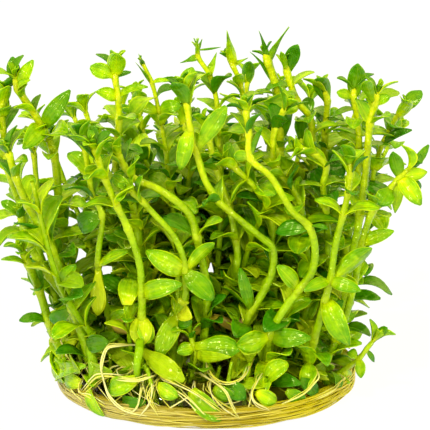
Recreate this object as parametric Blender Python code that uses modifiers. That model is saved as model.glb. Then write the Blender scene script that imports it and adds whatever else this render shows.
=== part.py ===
"""Lemon bacopa grown in a laboratory cup: a dense tuft of leafy shoots that stand in their puck of clear
gel, with the roots wound round its rim. Metres, +Z up; the origin is the middle of the puck's underside.
"""

import math
import random

import bmesh
import bpy
from mathutils import Matrix, Vector
from mathutils.bvhtree import BVHTree

MM = 0.001

# The puck took the shape of the cup: a mat of wound roots under and round a disc of gel.
PUCK_RADIUS = 32.5 * MM
PUCK_STEPS = 24
MAT_FLOOR = 1.2 * MM
MAT_RIM_HEIGHT = 4.2 * MM
MAT_INNER_RADIUS = 27.0 * MM
MAT_CREST_RADIUS = 31.5 * MM
MAT_LIP = 0.3 * MM
MAT_WIDEST_HEIGHT = 2.8 * MM
MAT_UNDERCUT = 1.4 * MM
MAT_UNDERCUT_HEIGHT = 0.7 * MM
MAT_FOOT_INSET = 3.6 * MM
GEL_HEIGHT = 7.2 * MM
GEL_SLOPE = 0.135
GEL_TOP_RADIUS = 33.4 * MM
CUT_WIDTH = 100 * MM
CUT_HEIGHT = 20 * MM
GAP = 0.3 * MM

# The clump of old roots and dead leaves that the inner shoots grow through.
CLUMP_CENTRE = Vector((-2.0 * MM, 6.0 * MM, 0.0))
CLUMP_PROFILE = ((0.0, 21.5), (8.0, 20.0), (14.0, 16.5), (18.0, 11.6), (19.5, 7.0), (18.5, 3.2), (0.0, 3.2))
CLUMP_STEPS = 16

# Stems have four sides, so that each side can carry a leaf of a pair.
STEM_SIDES = 4
NODE_SWELL = 1.22
NODE_LENGTH = 1.5 * MM
TIP_TAPER = 0.72
BUD_LENGTH = 2.6 * MM
FOOT_DEPTH_IN_CLUMP = 4.0 * MM
FOOT_ABOVE_MAT = 1.3 * MM
SOCKET_GAP = 0.35 * MM
SOCKET_TOP = 25.0 * MM

LEAF_THICKNESS = 0.5 * MM
LEAF_WIDEST = 0.52
LEAF_SLENDERNESS = 0.5
LEAF_ARCH = 0.06
LEAF_CLEARANCE = 0.3 * MM
LEAF_FROM = 0.1
LEAF_FREE_FROM = 0.3
LEAF_RISE = 30.0
YOUNG_LEAF_RISE = 52.0
RISE_SPREAD = 14.0
TURN_SPREAD = 12.0
LENGTH_SPREAD = (0.85, 1.1)
SQUARED = 1.2
TURN_FROM_SHOOT_TO_SHOOT = 37.0
LEAF_COLOUR = (0.22, 0.48, 0.02)

# The view that the routes below are read in: a place in the picture and a depth give a place in space.
VIEW_ELEVATION = math.radians(14.0)
VIEW_DISTANCE = 0.450
VIEW_TARGET = Vector((0.0019, 0.0, 0.0367))
PICTURE_MIDDLE = 215.0
FOCAL_PIXELS = 2128.0
FORWARD = Vector((0.0, math.cos(VIEW_ELEVATION), -math.sin(VIEW_ELEVATION)))
UPWARD = Vector((0.0, math.sin(VIEW_ELEVATION), math.cos(VIEW_ELEVATION)))

# Each shoot that the picture shows: foot (x, y) in mm, stem radius in mm, and the route up its stem as
# (column, row, depth in mm behind the puck's middle, length in mm of the leaf pair there, 0 for none).
TRACED = {
    "shoot_01": ((-23.2, -15), 1.0, [
        (84, 341, -17, 0), (72, 309, -18.5, 0), (52, 250, -21, 0), (28, 206, -23, 0),
        (16, 178, -24, 6), (9, 154, -24, 5)]),
    "shoot_02": ((-25, 8), 0.85, [
        (80, 320, 5, 0), (70, 270, 2, 6), (60, 215, -1, 0), (54, 155, -4, 6), (42, 126, -5, 0),
        (18, 89, -7, 0), (16, 80, -7.5, 0)]),
    "shoot_03": ((-22.5, 2), 0.65, [
        (80, 320, 1, 0), (64, 270, -2, 6.5), (46, 225, -4.5, 6.5), (37, 185, -6, 0), (34, 155, -7, 5),
        (31, 142, -7, 4)]),
    "shoot_04": ((-26, -5), 0.9, [
        (74, 325, -8, 0), (66, 300, -9, 0), (48, 275, -10.5, 0), (37, 259, -11.5, 0),
        (27, 238, -13, 5.5), (21, 218, -14, 5)]),
    "shoot_05": ((-27.6, -10), 0.95, [
        (54, 336, -11, 0), (49, 322, -12.5, 6), (39, 290, -15, 6), (28, 264, -18, 5), (24, 254, -19, 4)]),
    "shoot_06": ((-19, -10), 0.8, [
        (110, 325, -12, 0), (98, 264, -17, 0), (102, 215, -19, 0), (93, 197, -19.5, 6.5),
        (89, 176, -20, 6.5), (85, 151, -20.5, 6), (83, 141, -20.5, 5)]),
    "shoot_07": ((-13.4, -17), 1.0, [
        (141.5, 318, -20, 0), (142, 294, -21, 0), (139, 262, -22.5, 0), (128, 229, -24, 0),
        (117, 206, -25, 6.5), (105, 179, -26, 6.5), (98, 160, -26.5, 6), (95, 150, -27, 4)]),
    "shoot_08": ((-12, -3), 0.95, [
        (146, 315, -5, 0), (142, 262, -8, 6.5), (135, 215, -11, 6.5), (128, 191, -12.5, 0),
        (116, 170, -14, 0), (119, 120, -15, 6), (118, 97, -15.5, 0), (115, 77, -16, 0), (115, 69, -16, 0)]),
    "shoot_09": ((-2, -14), 0.95, [
        (207, 300, -16, 0), (197, 237, -19, 7), (189, 214, -20, 0), (171.5, 197.5, -21, 0),
        (154, 187, -21.5, 0), (133, 178, -21.5, 6), (124, 166, -21.5, 6), (119, 156, -21.5, 4.5)]),
    "shoot_10": ((-7, -16), 0.95, [
        (174, 345, -17, 0), (178, 319, -18, 0), (185, 297, -19, 0), (185, 271, -20, 0),
        (181, 251, -20.5, 0), (171.5, 233, -21, 0), (155, 215, -21.5, 0), (142, 201, -23, 6),
        (133, 193, -24, 4.5)]),
    "shoot_11": ((7.3, -12), 0.9, [
        (246.5, 325, -14, 0), (252, 310, -14.5, 0), (262, 294, -14.5, 0), (272, 272, -14.5, 0),
        (272.6, 248, -15, 0), (262, 238, -15.5, 0), (231, 212, -18, 0), (221, 204, -18.5, 6),
        (206, 182, -19, 0), (196, 151, -19.5, 0), (190.6, 130, -20, 0), (187, 105, -20, 6),
        (185, 92, -20, 4.5)]),
    "shoot_12": ((12.5, -5), 0.75, [
        (276, 330, -6, 0), (274, 290, -8, 0), (272, 250, -9.5, 0), (271, 220, -10.5, 6),
        (256, 189, -12, 0), (236, 169, -13, 5.5), (228, 162, -13, 4)]),
    "shoot_13": ((-3, -6), 1.05, [
        (192, 322, -8.5, 0), (215, 304, -9.5, 0), (229, 286, -10, 7), (237, 262, -10.5, 0),
        (236, 240, -11, 7), (229, 205, -10, 6), (217, 170, -9, 6), (209, 140, -8, 5), (206, 128, -8, 4)]),
    "shoot_14": ((12, -16), 0.95, [
        (270, 336, -18, 0), (281, 314, -18.5, 0), (299, 289, -19, 0), (311, 274, -20, 0),
        (315, 250, -20.5, 0), (309, 227, -21, 0), (293, 212, -21, 0), (270, 176, -21, 0),
        (250, 158, -21, 0), (249, 135, -20.5, 5.5), (246, 112, -20, 4.5)]),
    "shoot_15": ((16.5, -1), 0.75, [
        (305, 310, -5, 0), (307, 262, -8, 0), (301, 208, -11, 0), (292, 188, -12, 0),
        (277, 169, -12.5, 5.5), (273, 148, -13, 0), (275, 129, -13, 5.5), (284, 110, -13, 4.5)]),
    "shoot_16": ((21, 0), 0.75, [
        (322, 310, -3, 0), (328, 255, -6, 0), (326, 208, -9, 6), (323, 185, -10, 0), (326, 166, -11, 6),
        (316, 155, -11.5, 5.5), (304, 150, -12, 4.5)]),
    "shoot_17": ((19.5, -15.5), 0.95, [
        (314, 341, -17, 0), (325, 300, -18.5, 0), (330, 281, -19, 0), (336, 242, -20, 0),
        (343, 215, -21, 6), (348, 193, -22, 6), (350, 175, -22, 5.5), (350, 165, -22, 4)]),
    "shoot_18": ((24.5, -5), 0.9, [
        (341, 320, -7, 0), (347, 285, -8, 6), (354, 249, -9, 0), (360, 215, -10, 6), (366, 170, -11, 0),
        (370, 124, -12, 6), (375, 104, -12.5, 0), (377, 96, -12.5, 0)]),
    "shoot_19": ((22, 9), 0.75, [
        (335, 300, 3, 6), (345, 250, 1, 6), (356, 200, -1, 6), (359, 150, -3, 6), (358, 121, -4, 0),
        (353.5, 97, -5, 0), (354, 90, -5, 0)]),
    "shoot_20": ((24.5, 4), 0.65, [
        (350, 300, 2, 5.5), (362, 250, 1, 5.5), (371, 200, 0, 6), (374, 170, -1, 0), (383, 143, -2, 0),
        (396, 118, -3, 0), (402, 110, -4, 0)]),
    "shoot_21": ((22.5, -11), 0.85, [
        (341, 330, -13, 0), (354, 285, -14, 6), (362, 243, -15, 0), (373, 211, -16, 6),
        (391, 188, -17, 0), (400, 177, -17, 0), (408, 170, -17, 0)]),
    "shoot_22": ((13.5, 8), 0.85, [
        (297, 300, 5, 0), (310, 250, 3, 0), (314, 200, 1, 6), (313, 150, -1, 6), (310, 118, -2, 0),
        (297, 101, -3, 0), (287, 72, -4, 0), (286, 66, -4, 0)]),
    "shoot_23": ((9, 5), 0.95, [
        (262, 300, 4, 0), (268, 250, 2, 0), (276, 200, 1, 6), (280, 150, 0, 6), (280, 108, -1, 0),
        (275, 82, -2, 0), (268, 62, -3, 0), (266, 56, -3, 0)]),
    "shoot_24": ((17.5, 12), 0.85, [
        (312, 290, 9, 0), (320, 240, 7, 6), (325, 190, 5, 6), (325, 134, 3, 6), (327.5, 101, 2, 0),
        (325, 92, 2, 0)]),
    "shoot_25": ((-7, 4), 0.7, [
        (185, 296, 2, 0), (178, 240, 0, 0), (170, 190, -2, 6), (166, 151, -4, 5.5), (159, 112, -5, 0),
        (152, 83, -6, 0), (144, 66, -7, 0)]),
    "shoot_26": ((-1, 1), 0.7, [
        (213, 297, 0, 0), (219, 250, -2, 0), (222, 200, -2, 6), (220, 150, -3, 6), (218, 110, -4, 5.5),
        (210, 76, -5, 5), (198, 57, -6, 0), (197.5, 50, -6, 0)]),
    "shoot_27": ((3.5, 7), 0.7, [
        (236, 296, 6, 0), (240, 250, 4, 0), (240, 200, 3, 6), (243, 150, 2, 6), (243, 110, 1, 5.5),
        (241, 85, 0, 0), (233, 66, 0, 0), (230, 60, 0, 0)]),
    "shoot_28": ((-28, 1.5), 0.75, [
        (62, 322, 0, 0), (46, 270, -1, 6), (24, 215, -3, 6.5), (8, 170, -4, 6.5), (3, 130, -5, 6),
        (2, 105, -5, 5.5), (3, 95, -5, 4)]),
    "shoot_29": ((24.5, -8.2), 0.7, [
        (345, 368, -10.5, 0), (356, 362, -11, 0), (364, 352, -12, 0), (369, 346, -12, 0)]),
    "shoot_30": ((-4, -19), 0.7, [
        (197, 358, -19.5, 0), (194, 349, -19.5, 0), (192, 341, -19.5, 3)]),
}

# Leaves that the picture shows plainly: point of the route they grow at, then the tip as (column, row,
# depth in mm), the width in mm, and how squarely the blade faces the viewer, from 0 to 1.
SHOWN_LEAVES = {
    "shoot_01": [
        (1, (46, 290, -21), 3.0, 0.8), (1, (55, 328, -20), 3.6, 0.7), (2, (14, 223, -24), 2.0, 0.15),
        (2, (58, 208, -20), 2.4, 0.3), (3, (12, 160, -24), 3.8, 0.9), (3, (33, 172, -21), 2.8, 0.5)],
    "shoot_02": [
        (4, (70, 90, -7), 3.3, 0.9), (4, (21, 151, -8), 3.7, 0.9), (5, (33, 60, -8), 2.6, 0.8),
        (5, (12, 57, -9), 2.7, 0.9), (5, (30, 80, -9), 1.6, 0.5)],
    "shoot_04": [(2, (23, 257, -12), 2.2, 0.4), (3, (5, 230, -14), 3.1, 0.8)],
    "shoot_06": [
        (0, (130, 311, -15), 3.4, 0.8), (1, (82, 231, -19), 2.7, 0.7), (1, (128, 252, -21), 2.8, 0.4),
        (1, (138, 292, -24), 3.7, 0.95), (2, (80, 228, -16), 4.0, 0.9)],
    "shoot_07": [
        (0, (149, 343, -22), 3.2, 0.8), (0, (134, 343, -22), 3.2, 0.8), (1, (182, 284, -25), 3.5, 0.9),
        (3, (132, 203, -26), 2.3, 0.5)],
    "shoot_08": [
        (6, (96, 92, -18), 2.6, 0.8), (6, (148, 87, -17), 1.6, 0.6), (6, (150, 102, -14), 2.4, 0.7),
        (7, (90, 67, -18), 2.9, 0.8), (7, (118, 51, -17), 3.4, 0.95), (7, (131, 72, -17), 1.3, 0.4)],
    "shoot_10": [
        (1, (192, 322, -21), 3.2, 1.0), (3, (146, 251, -22), 3.9, 0.9), (3, (214, 243, -23), 2.5, 0.7),
        (3, (213, 300, -23), 4.0, 0.9)],
    "shoot_11": [
        (1, (240, 268, -17), 2.3, 0.8), (9, (226, 106, -22), 4.1, 1.0), (10, (180, 170, -22), 2.9, 0.8)],
    "shoot_14": [
        (0, (237, 346, -22), 4.3, 1.0), (0, (311, 338, -22), 3.6, 0.9), (0, (293, 316, -21), 2.0, 0.8),
        (2, (277, 266, -22), 3.1, 0.8), (5, (328, 229, -23), 1.0, 0.4), (5, (276, 233, -20), 3.2, 0.6),
        (8, (234, 156, -23), 2.2, 0.8), (8, (262, 128, -23), 1.2, 0.6)],
    "shoot_17": [
        (0, (332, 319, -20), 2.0, 0.6), (0, (309, 316, -19), 2.0, 0.8), (1, (349, 345, -22), 4.1, 1.0),
        (2, (371, 248, -22), 3.3, 0.8), (2, (304, 291, -22), 2.3, 0.6), (2, (361, 291, -22), 2.6, 1.0)],
    "shoot_18": [(6, (366, 81, -15), 2.2, 0.8), (6, (390, 96, -12), 2.0, 0.7)],
    "shoot_19": [(5, (358, 64, -8), 3.3, 0.9), (5, (337, 92, -7), 2.0, 0.7)],
    "shoot_20": [(5, (411, 99, -6), 2.3, 0.9), (4, (412, 130, -5), 1.9, 0.7)],
    "shoot_21": [
        (2, (394, 231, -17), 2.5, 0.8), (4, (380, 206, -20), 3.5, 1.0), (5, (393, 152, -19), 2.7, 0.8),
        (5, (430, 145, -16), 1.8, 0.6), (5, (421, 205, -20), 3.3, 0.9), (5, (431, 168, -17), 2.5, 0.7)],
    "shoot_22": [
        (5, (264, 103, -9), 4.5, 1.0), (6, (298, 45, -7), 2.8, 0.9), (6, (281, 52, -5), 1.2, 0.4)],
    "shoot_23": [
        (6, (289, 26, -6), 2.0, 0.6), (6, (259, 31, -4), 1.6, 0.8), (6, (284, 50, -3), 1.6, 0.6),
        (5, (250, 52, -5), 1.5, 0.7)],
    "shoot_24": [(4, (318, 78, -1), 3.3, 0.9), (4, (337, 88, 1), 2.0, 0.7)],
    "shoot_25": [
        (5, (170, 81, -7), 1.0, 0.5), (5, (134, 60, -7), 0.9, 0.6), (4, (128, 101, -7), 2.4, 0.7),
        (4, (181, 106, -7), 2.9, 0.8)],
    "shoot_26": [(6, (180, 63, -7), 1.8, 0.8), (6, (197.5, 38, -8), 1.2, 0.8)],
    "shoot_27": [(6, (226, 27, -3), 2.7, 0.8), (6, (248, 58, -1), 1.5, 0.6)],
    "shoot_29": [
        (1, (361, 378, -13), 2.0, 0.9), (1, (348, 352, -11), 2.0, 0.8), (3, (387, 328, -14), 1.8, 0.8),
        (2, (374, 362, -11), 1.2, 0.6)],
    "shoot_30": [(1, (240, 349, -22), 4.5, 1.0), (1, (177, 353, -21), 2.6, 0.8)],
}

# Shoots that stand behind the ones in the picture: foot (x, y), tip (x, y, z) and stem radius, in mm.
HIDDEN = {
    "shoot_31": ((-20, 13), (-37, 20, 53), 0.75),
    "shoot_32": ((-14, 8), (-26, 13, 56), 0.8),
    "shoot_33": ((-18, 22), (-30, 36, 50), 0.75),
    "shoot_34": ((-10, 14), (-15, 25, 57), 0.85),
    "shoot_35": ((-11, 24), (-19, 43, 52), 0.75),
    "shoot_36": ((-3, 12), (-5, 22, 58.5), 0.85),
    "shoot_37": ((-3, 20), (-4, 36, 55), 0.8),
    "shoot_38": ((3, 28), (4, 47, 46), 0.75),
    "shoot_39": ((4, 17), (9, 29, 59.5), 0.85),
    "shoot_40": ((10, 23), (16, 40, 56), 0.75),
    "shoot_41": ((14, 16), (23, 28, 55.5), 0.8),
    "shoot_42": ((19, 19), (33, 32, 52), 0.75),
    "shoot_43": ((21, 14.5), (42, 22, 50), 0.75),
    "shoot_44": ((-25, 13.5), (-45, 21, 44), 0.7),
    "shoot_45": ((-6, 28), (-10, 47, 43), 0.7),
    "shoot_46": ((14, 25), (26, 43, 43), 0.7),
}
HIDDEN_NODES = 5
HIDDEN_FIRST_NODE = 0.3
HIDDEN_BEND = 0.32
HIDDEN_BEND_HEIGHT = 0.55
HIDDEN_SWAY = 0.4 * MM
HIDDEN_LEAF = 7.0 * MM
HIDDEN_LEAF_SPREAD = (0.85, 1.15)
HIDDEN_TOP_LEAF = 0.7

# A leaf that would touch another is tried in other ways, in this order. A leaf of a pair: degrees round
# the stem, degrees up, share of the length. A leaf of the picture: mm nearer, share of the length.
PAIR_TRIALS = (
    (0, 0, 1.0), (18, 0, 1.0), (-18, 0, 1.0), (0, 18, 1.0), (0, -15, 0.95), (30, 12, 0.95), (-30, 12, 0.95),
    (0, 32, 0.9), (22, -18, 0.85), (-22, -18, 0.85), (0, 0, 0.75), (35, 25, 0.75), (-35, 25, 0.75),
)
SHOWN_TRIALS = (
    (0, 1.0), (1.5, 1.0), (-1.5, 1.0), (3, 1.0), (-3, 1.0), (0, 0.85), (2, 0.85), (-2, 0.85), (4.5, 0.9),
    (-4.5, 0.9), (0, 0.7), (3, 0.7), (-3, 0.7),
)


def seen_at(column, row, depth):
    """The point seen at that column and row of the picture, depth mm behind the puck's middle."""
    eye = VIEW_TARGET - FORWARD * VIEW_DISTANCE
    across = Vector((1.0, 0.0, 0.0)) * (column - PICTURE_MIDDLE) / FOCAL_PIXELS
    ray = FORWARD + across - UPWARD * (row - PICTURE_MIDDLE) / FOCAL_PIXELS
    return eye + ray * ((depth * MM - eye.y) / ray.y)


def clump_height(x, y):
    """Height of the clump's surface over a point of the ground, or 0 beside the clump."""
    reach = math.hypot(x - CLUMP_CENTRE.x, y - CLUMP_CENTRE.y) / MM
    for (inner, upper), (outer, lower) in zip(CLUMP_PROFILE, CLUMP_PROFILE[1:]):
        if inner <= reach < outer:
            return (upper + (lower - upper) * (reach - inner) / (outer - inner)) * MM
    return 0.0


def gel_height(x):
    """Height of the gel's sloping top."""
    return GEL_HEIGHT - GEL_SLOPE * x


def foot_point(x, y):
    """Where a shoot starts: a little above the root mat, or a little below the clump's surface."""
    reach = math.hypot(x, y)
    rise = max(0.0, reach - MAT_INNER_RADIUS) / (MAT_CREST_RADIUS - MAT_INNER_RADIUS)
    height = MAT_FLOOR + rise * (MAT_RIM_HEIGHT - MAT_FLOOR) + FOOT_ABOVE_MAT
    return Vector((x, y, max(height, clump_height(x, y) - FOOT_DEPTH_IN_CLUMP)))


class Shoot:
    """The plan of one shoot: its centre line, and the leaf pairs and leaves along it."""

    def __init__(self, name, radius, points, pairs):
        self.name = name
        self.number = int(name.split("_")[1])
        self.radius = radius * MM
        self.points = points
        self.pairs = pairs
        self.shown = SHOWN_LEAVES.get(name, [])
        self.ways = directions(points)
        self.sides = carried_sides(self.ways, math.radians(self.number * TURN_FROM_SHOOT_TO_SHOOT))

    def is_node(self, index):
        """Whether leaves grow at that point of the route."""
        return self.pairs[index] > 0 or any(leaf[0] + 1 == index for leaf in self.shown)

    def side_way(self, index, angle):
        """The direction out of the stem at that point and that angle round it."""
        side = self.sides[index]
        return side * math.cos(angle) + self.ways[index].cross(side) * math.sin(angle)


def directions(points):
    """The direction of the centre line at each of its points."""
    steps = [(b - a).normalized() for a, b in zip(points, points[1:])]
    return [steps[0]] + [(a + b).normalized() for a, b in zip(steps, steps[1:])] + [steps[-1]]


def carried_sides(ways, turn):
    """A direction square to the centre line at each point, carried along it without twist."""
    side = Vector((math.cos(turn), math.sin(turn), 0.0))
    sides = []
    for way in ways:
        side = (side - way * side.dot(way)).normalized()
        sides.append(side)
    return sides


def traced_shoot(name):
    """A shoot whose route is read in the picture."""
    (x, y), radius, route = TRACED[name]
    points = [foot_point(x * MM, y * MM)] + [seen_at(*place[:3]) for place in route]
    return Shoot(name, radius, points, [0.0] + [place[3] * MM for place in route])


def hidden_shoot(name):
    """A shoot that bends outwards on its way up, with its leaf pairs evenly spaced."""
    (x, y), tip, radius = HIDDEN[name]
    chance = random.Random(name)
    foot = foot_point(x * MM, y * MM)
    tip = Vector(tip) * MM
    bend = foot.lerp(tip, HIDDEN_BEND)
    bend.z = foot.z + HIDDEN_BEND_HEIGHT * (tip.z - foot.z)
    points = [foot]
    pairs = [0.0]
    for count in range(HIDDEN_NODES):
        along = HIDDEN_FIRST_NODE + (1.0 - HIDDEN_FIRST_NODE) * count / (HIDDEN_NODES - 1)
        place = foot * (1 - along) ** 2 + bend * 2 * along * (1 - along) + tip * along ** 2
        sway = Vector((chance.uniform(-1, 1), chance.uniform(-1, 1), 0.0))
        points.append(place + sway * HIDDEN_SWAY)
        pairs.append(chance.uniform(*HIDDEN_LEAF_SPREAD) * HIDDEN_LEAF)
    pairs[1] = 0.0
    pairs[-1] *= HIDDEN_TOP_LEAF
    return Shoot(name, radius, points, pairs)


def planned_shoots():
    """Every shoot, in the order of their names."""
    return [traced_shoot(name) for name in TRACED] + [hidden_shoot(name) for name in HIDDEN]


class Leaf:
    """Where one leaf starts and ends, its width, and the direction across its blade."""

    def __init__(self, base, tip, width, across):
        self.base = base
        self.tip = tip
        self.width = width
        self.way = (tip - base).normalized()
        self.across = (across - self.way * across.dot(self.way)).normalized()
        self.upper = self.way.cross(self.across)

    def section(self, share, spare=0.0):
        """The corners of the blade's section at that share of its length, with some spare round it."""
        centre = self.base.lerp(self.tip, share) + self.upper * LEAF_ARCH * (self.tip - self.base).length
        half_width = self.across * (self.width / 2 + spare)
        half_depth = self.upper * (LEAF_THICKNESS / 2 + spare)
        return [
            centre - half_width - half_depth, centre + half_width - half_depth,
            centre + half_width + half_depth, centre - half_width + half_depth]


def pair_leaf(shoot, index, count, trial):
    """A leaf of the pair at a point of the stem, from one of its sides, turned and shortened as tried."""
    turned, raised, share = trial
    chance = random.Random(f"{shoot.name} leaf {index} {count}")
    way = shoot.ways[index]
    is_young = index >= len(shoot.points) - 2
    rise = (YOUNG_LEAF_RISE if is_young else LEAF_RISE) + chance.uniform(-RISE_SPREAD, RISE_SPREAD) + raised
    rise = math.radians(rise)
    angle = count * 2 * math.pi / STEM_SIDES + math.radians(chance.uniform(-TURN_SPREAD, TURN_SPREAD) + turned)
    length = shoot.pairs[index] * chance.uniform(*LENGTH_SPREAD) * share
    out = shoot.side_way(index, angle)
    base = shoot.points[index] + out * shoot.radius
    tip = base + (out * math.cos(rise) + way * math.sin(rise)) * length
    return Leaf(base, tip, length * LEAF_SLENDERNESS, way.cross(tip - base))


def shown_leaf(shoot, index, count, leaf, trial):
    """A leaf seen in the picture; it is tried nearer to the viewer, farther off and shorter."""
    nearer, share = trial
    _, (column, row, depth), width, facing = leaf
    base = shoot.points[index] + shoot.side_way(index, count * 2 * math.pi / STEM_SIDES) * shoot.radius
    tip = base.lerp(seen_at(column, row, depth - nearer), share)
    grown = shoot.ways[index].cross(tip - base).normalized()
    seen = FORWARD.cross(tip - base).normalized()
    if seen.dot(grown) < 0:
        seen = -seen
    return Leaf(base, tip, width * MM, grown.lerp(seen, facing))


def free_side(shoot, index, target, taken):
    """The side of the stem that faces a leaf's tip best and has no leaf yet."""
    way = target - shoot.points[index]
    left = [count for count in range(STEM_SIDES) if count not in taken]
    return max(left, key=lambda count: shoot.side_way(index, count * 2 * math.pi / STEM_SIDES).dot(way))


def leaf_plans(shoot):
    """Every leaf that a shoot may carry: point of the stem, side of it, and the shapes to try in turn."""
    plans = []
    for index in range(1, len(shoot.points)):
        taken = []
        for leaf in [leaf for leaf in shoot.shown if leaf[0] + 1 == index]:
            side = free_side(shoot, index, seen_at(*leaf[1]), taken)
            taken.append(side)
            plans.append((index, side, [shown_leaf(shoot, index, side, leaf, t) for t in SHOWN_TRIALS]))
        if shoot.pairs[index] > 0:
            first = index % 2
            for side in (first, first + 2):
                if side not in taken:
                    plans.append((index, side, [pair_leaf(shoot, index, side, t) for t in PAIR_TRIALS]))
    return plans


class Obstacles:
    """The surfaces that a new leaf has to keep clear of."""

    def __init__(self):
        self.solids = []

    def add(self, verts, faces, owner=None):
        low = Vector([min(v[k] for v in verts) for k in range(3)])
        high = Vector([max(v[k] for v in verts) for k in range(3)])
        self.solids.append((low, high, BVHTree.FromPolygons(verts, faces), owner))

    def meets(self, leaf, face, shoot):
        """Whether a leaf grown from that face touches anything, apart from its own stem where it starts."""
        if in_puck(leaf.tip) or in_puck(leaf.base.lerp(leaf.tip, LEAF_WIDEST)):
            return True
        whole = leaf_surface(leaf, face, LEAF_FROM, LEAF_CLEARANCE)
        outer = leaf_surface(leaf, face, LEAF_FREE_FROM, LEAF_CLEARANCE)
        trees = {}
        for low, high, tree, owner in self.solids:
            verts, faces = outer if owner == shoot.name else whole
            near = all(
                min(v[k] for v in verts) < high[k] and max(v[k] for v in verts) > low[k] for k in range(3))
            if near:
                key = owner == shoot.name
                if key not in trees:
                    trees[key] = BVHTree.FromPolygons(verts, faces)
                if trees[key].overlap(tree):
                    return True
        return False


def in_puck(point):
    """Whether a point lies in the gel, the root mat or the clump."""
    reach = math.hypot(point.x, point.y)
    in_gel = reach < GEL_TOP_RADIUS + GAP and point.z < max(gel_height(point.x), MAT_RIM_HEIGHT) + GAP
    return in_gel or point.z < clump_height(point.x, point.y) + GAP or point.z < GAP


def matched_corners(face, corners):
    """The corners of a section, in the order that joins them to a face's corners with the least twist."""
    centre = face.calc_center_median()
    middle = sum(corners, Vector()) / 4

    def agreement(start):
        pairs = zip(face.verts, corners[start:] + corners[:start])
        return sum((vert.co - centre).normalized().dot((c - middle).normalized()) for vert, c in pairs)

    start = max(range(4), key=agreement)
    return corners[start:] + corners[:start]


def leaf_surface(leaf, face, start, spare):
    """A leaf grown from that face, from a share of its length to its tip, with some spare round it."""
    centre = face.calc_center_median()
    wide = matched_corners(face, leaf.section(LEAF_WIDEST, spare))
    inner = []
    for vert, corner in zip(face.verts, wide):
        root = vert.co + (vert.co - centre).normalized() * spare
        inner.append(root.lerp(corner, start / LEAF_WIDEST))
    verts = inner + wide + [leaf.tip + leaf.way * spare]
    faces = [(0, 3, 2, 1)]
    for count in range(4):
        following = (count + 1) % 4
        faces.append((count, following, following + 4, count + 4))
        faces.append((count + 4, following + 4, 8))
    return verts, faces


def ring_corners(centre, way, side, radius):
    """The corners of the stem's section: the middle of each of its sides faces a leaf's direction."""
    other = way.cross(side)
    corners = []
    for count in range(STEM_SIDES):
        angle = (count - 0.5) * 2 * math.pi / STEM_SIDES
        corners.append(centre + (side * math.cos(angle) + other * math.sin(angle)) * radius * SQUARED)
    return corners


def grow(bm, face, corners):
    """Extrude a face and put its corners in their new places."""
    new_face = bmesh.ops.extrude_discrete_faces(bm, faces=[face])["faces"][0]
    for vert, place in zip(new_face.verts, corners):
        vert.co = place
    return new_face


def sides_of(cap):
    """The stem's side faces just under its end, in the order of the end's corners."""
    found = []
    for loop in cap.loops:
        found.append(next(face for face in loop.edge.link_faces if face is not cap))
    return found


def grow_stem(bm, sections):
    """A closed stem through its sections; gives the end face and the side faces under each section."""
    first = [bm.verts.new(place) for place in sections[0]]
    end = bm.faces.new(first)
    sides = [None]
    for corners in sections[1:]:
        end = grow(bm, end, corners)
        sides.append(sides_of(end))
    bm.faces.new(list(reversed(first)))
    return end, sides


def stem_sections(shoot):
    """Corners of every section of a stem, and which of them ends a node that carries leaves."""
    sections = []
    node_ends = {}
    last = len(shoot.points) - 1
    for index, point in enumerate(shoot.points):
        way, side = shoot.ways[index], shoot.sides[index]
        radius = shoot.radius * (1.0 + (TIP_TAPER - 1.0) * index / last)
        if shoot.is_node(index):
            step = way * NODE_LENGTH / 2
            sections.append(ring_corners(point - step, way, side, radius * NODE_SWELL))
            sections.append(ring_corners(point + step, way, side, radius * NODE_SWELL))
            node_ends[index] = len(sections) - 1
        else:
            sections.append(ring_corners(point, way, side, radius))
    return sections, node_ends


def grow_leaf(bm, face, leaf):
    """Extrude a side of the stem into a leaf: out to its widest section, then to its tip."""
    blade = grow(bm, face, matched_corners(face, leaf.section(LEAF_WIDEST)))
    tip = grow(bm, blade, [leaf.tip] * 4)
    bmesh.ops.pointmerge(bm, verts=tip.verts[:], merge_co=leaf.tip)


def crosses_itself(bm, face, leaf):
    """Whether a leaf grown from that face would cross itself, or its shoot anywhere but where it starts."""
    verts, faces = mesh_data(bm)
    tree = BVHTree.FromPolygons(verts, faces)
    wide = len(verts)
    verts = verts + matched_corners(face, leaf.section(LEAF_WIDEST)) + [leaf.tip]
    roots = [vert.index for vert in face.verts]
    grown = []
    for count in range(4):
        following = (count + 1) % 4
        inner, outer = (roots[count], roots[following]), (wide + following, wide + count)
        grown += [(*inner, outer[0]), (inner[0], *outer), (*inner, outer[1]), (inner[1], *outer)]
        grown.append((wide + count, wide + following, wide + 4))
    leaf_tree = BVHTree.FromPolygons(verts, grown)
    twisted = any(not set(grown[one]) & set(grown[other]) for one, other in leaf_tree.overlap(leaf_tree))
    return twisted or any(not set(grown[new]) & set(faces[old]) for new, old in leaf_tree.overlap(tree))


def mesh_data(bm):
    """Corners and faces of a mesh, for the obstacles."""
    bm.verts.index_update()
    return [v.co.copy() for v in bm.verts], [[v.index for v in f.verts] for f in bm.faces]


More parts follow.
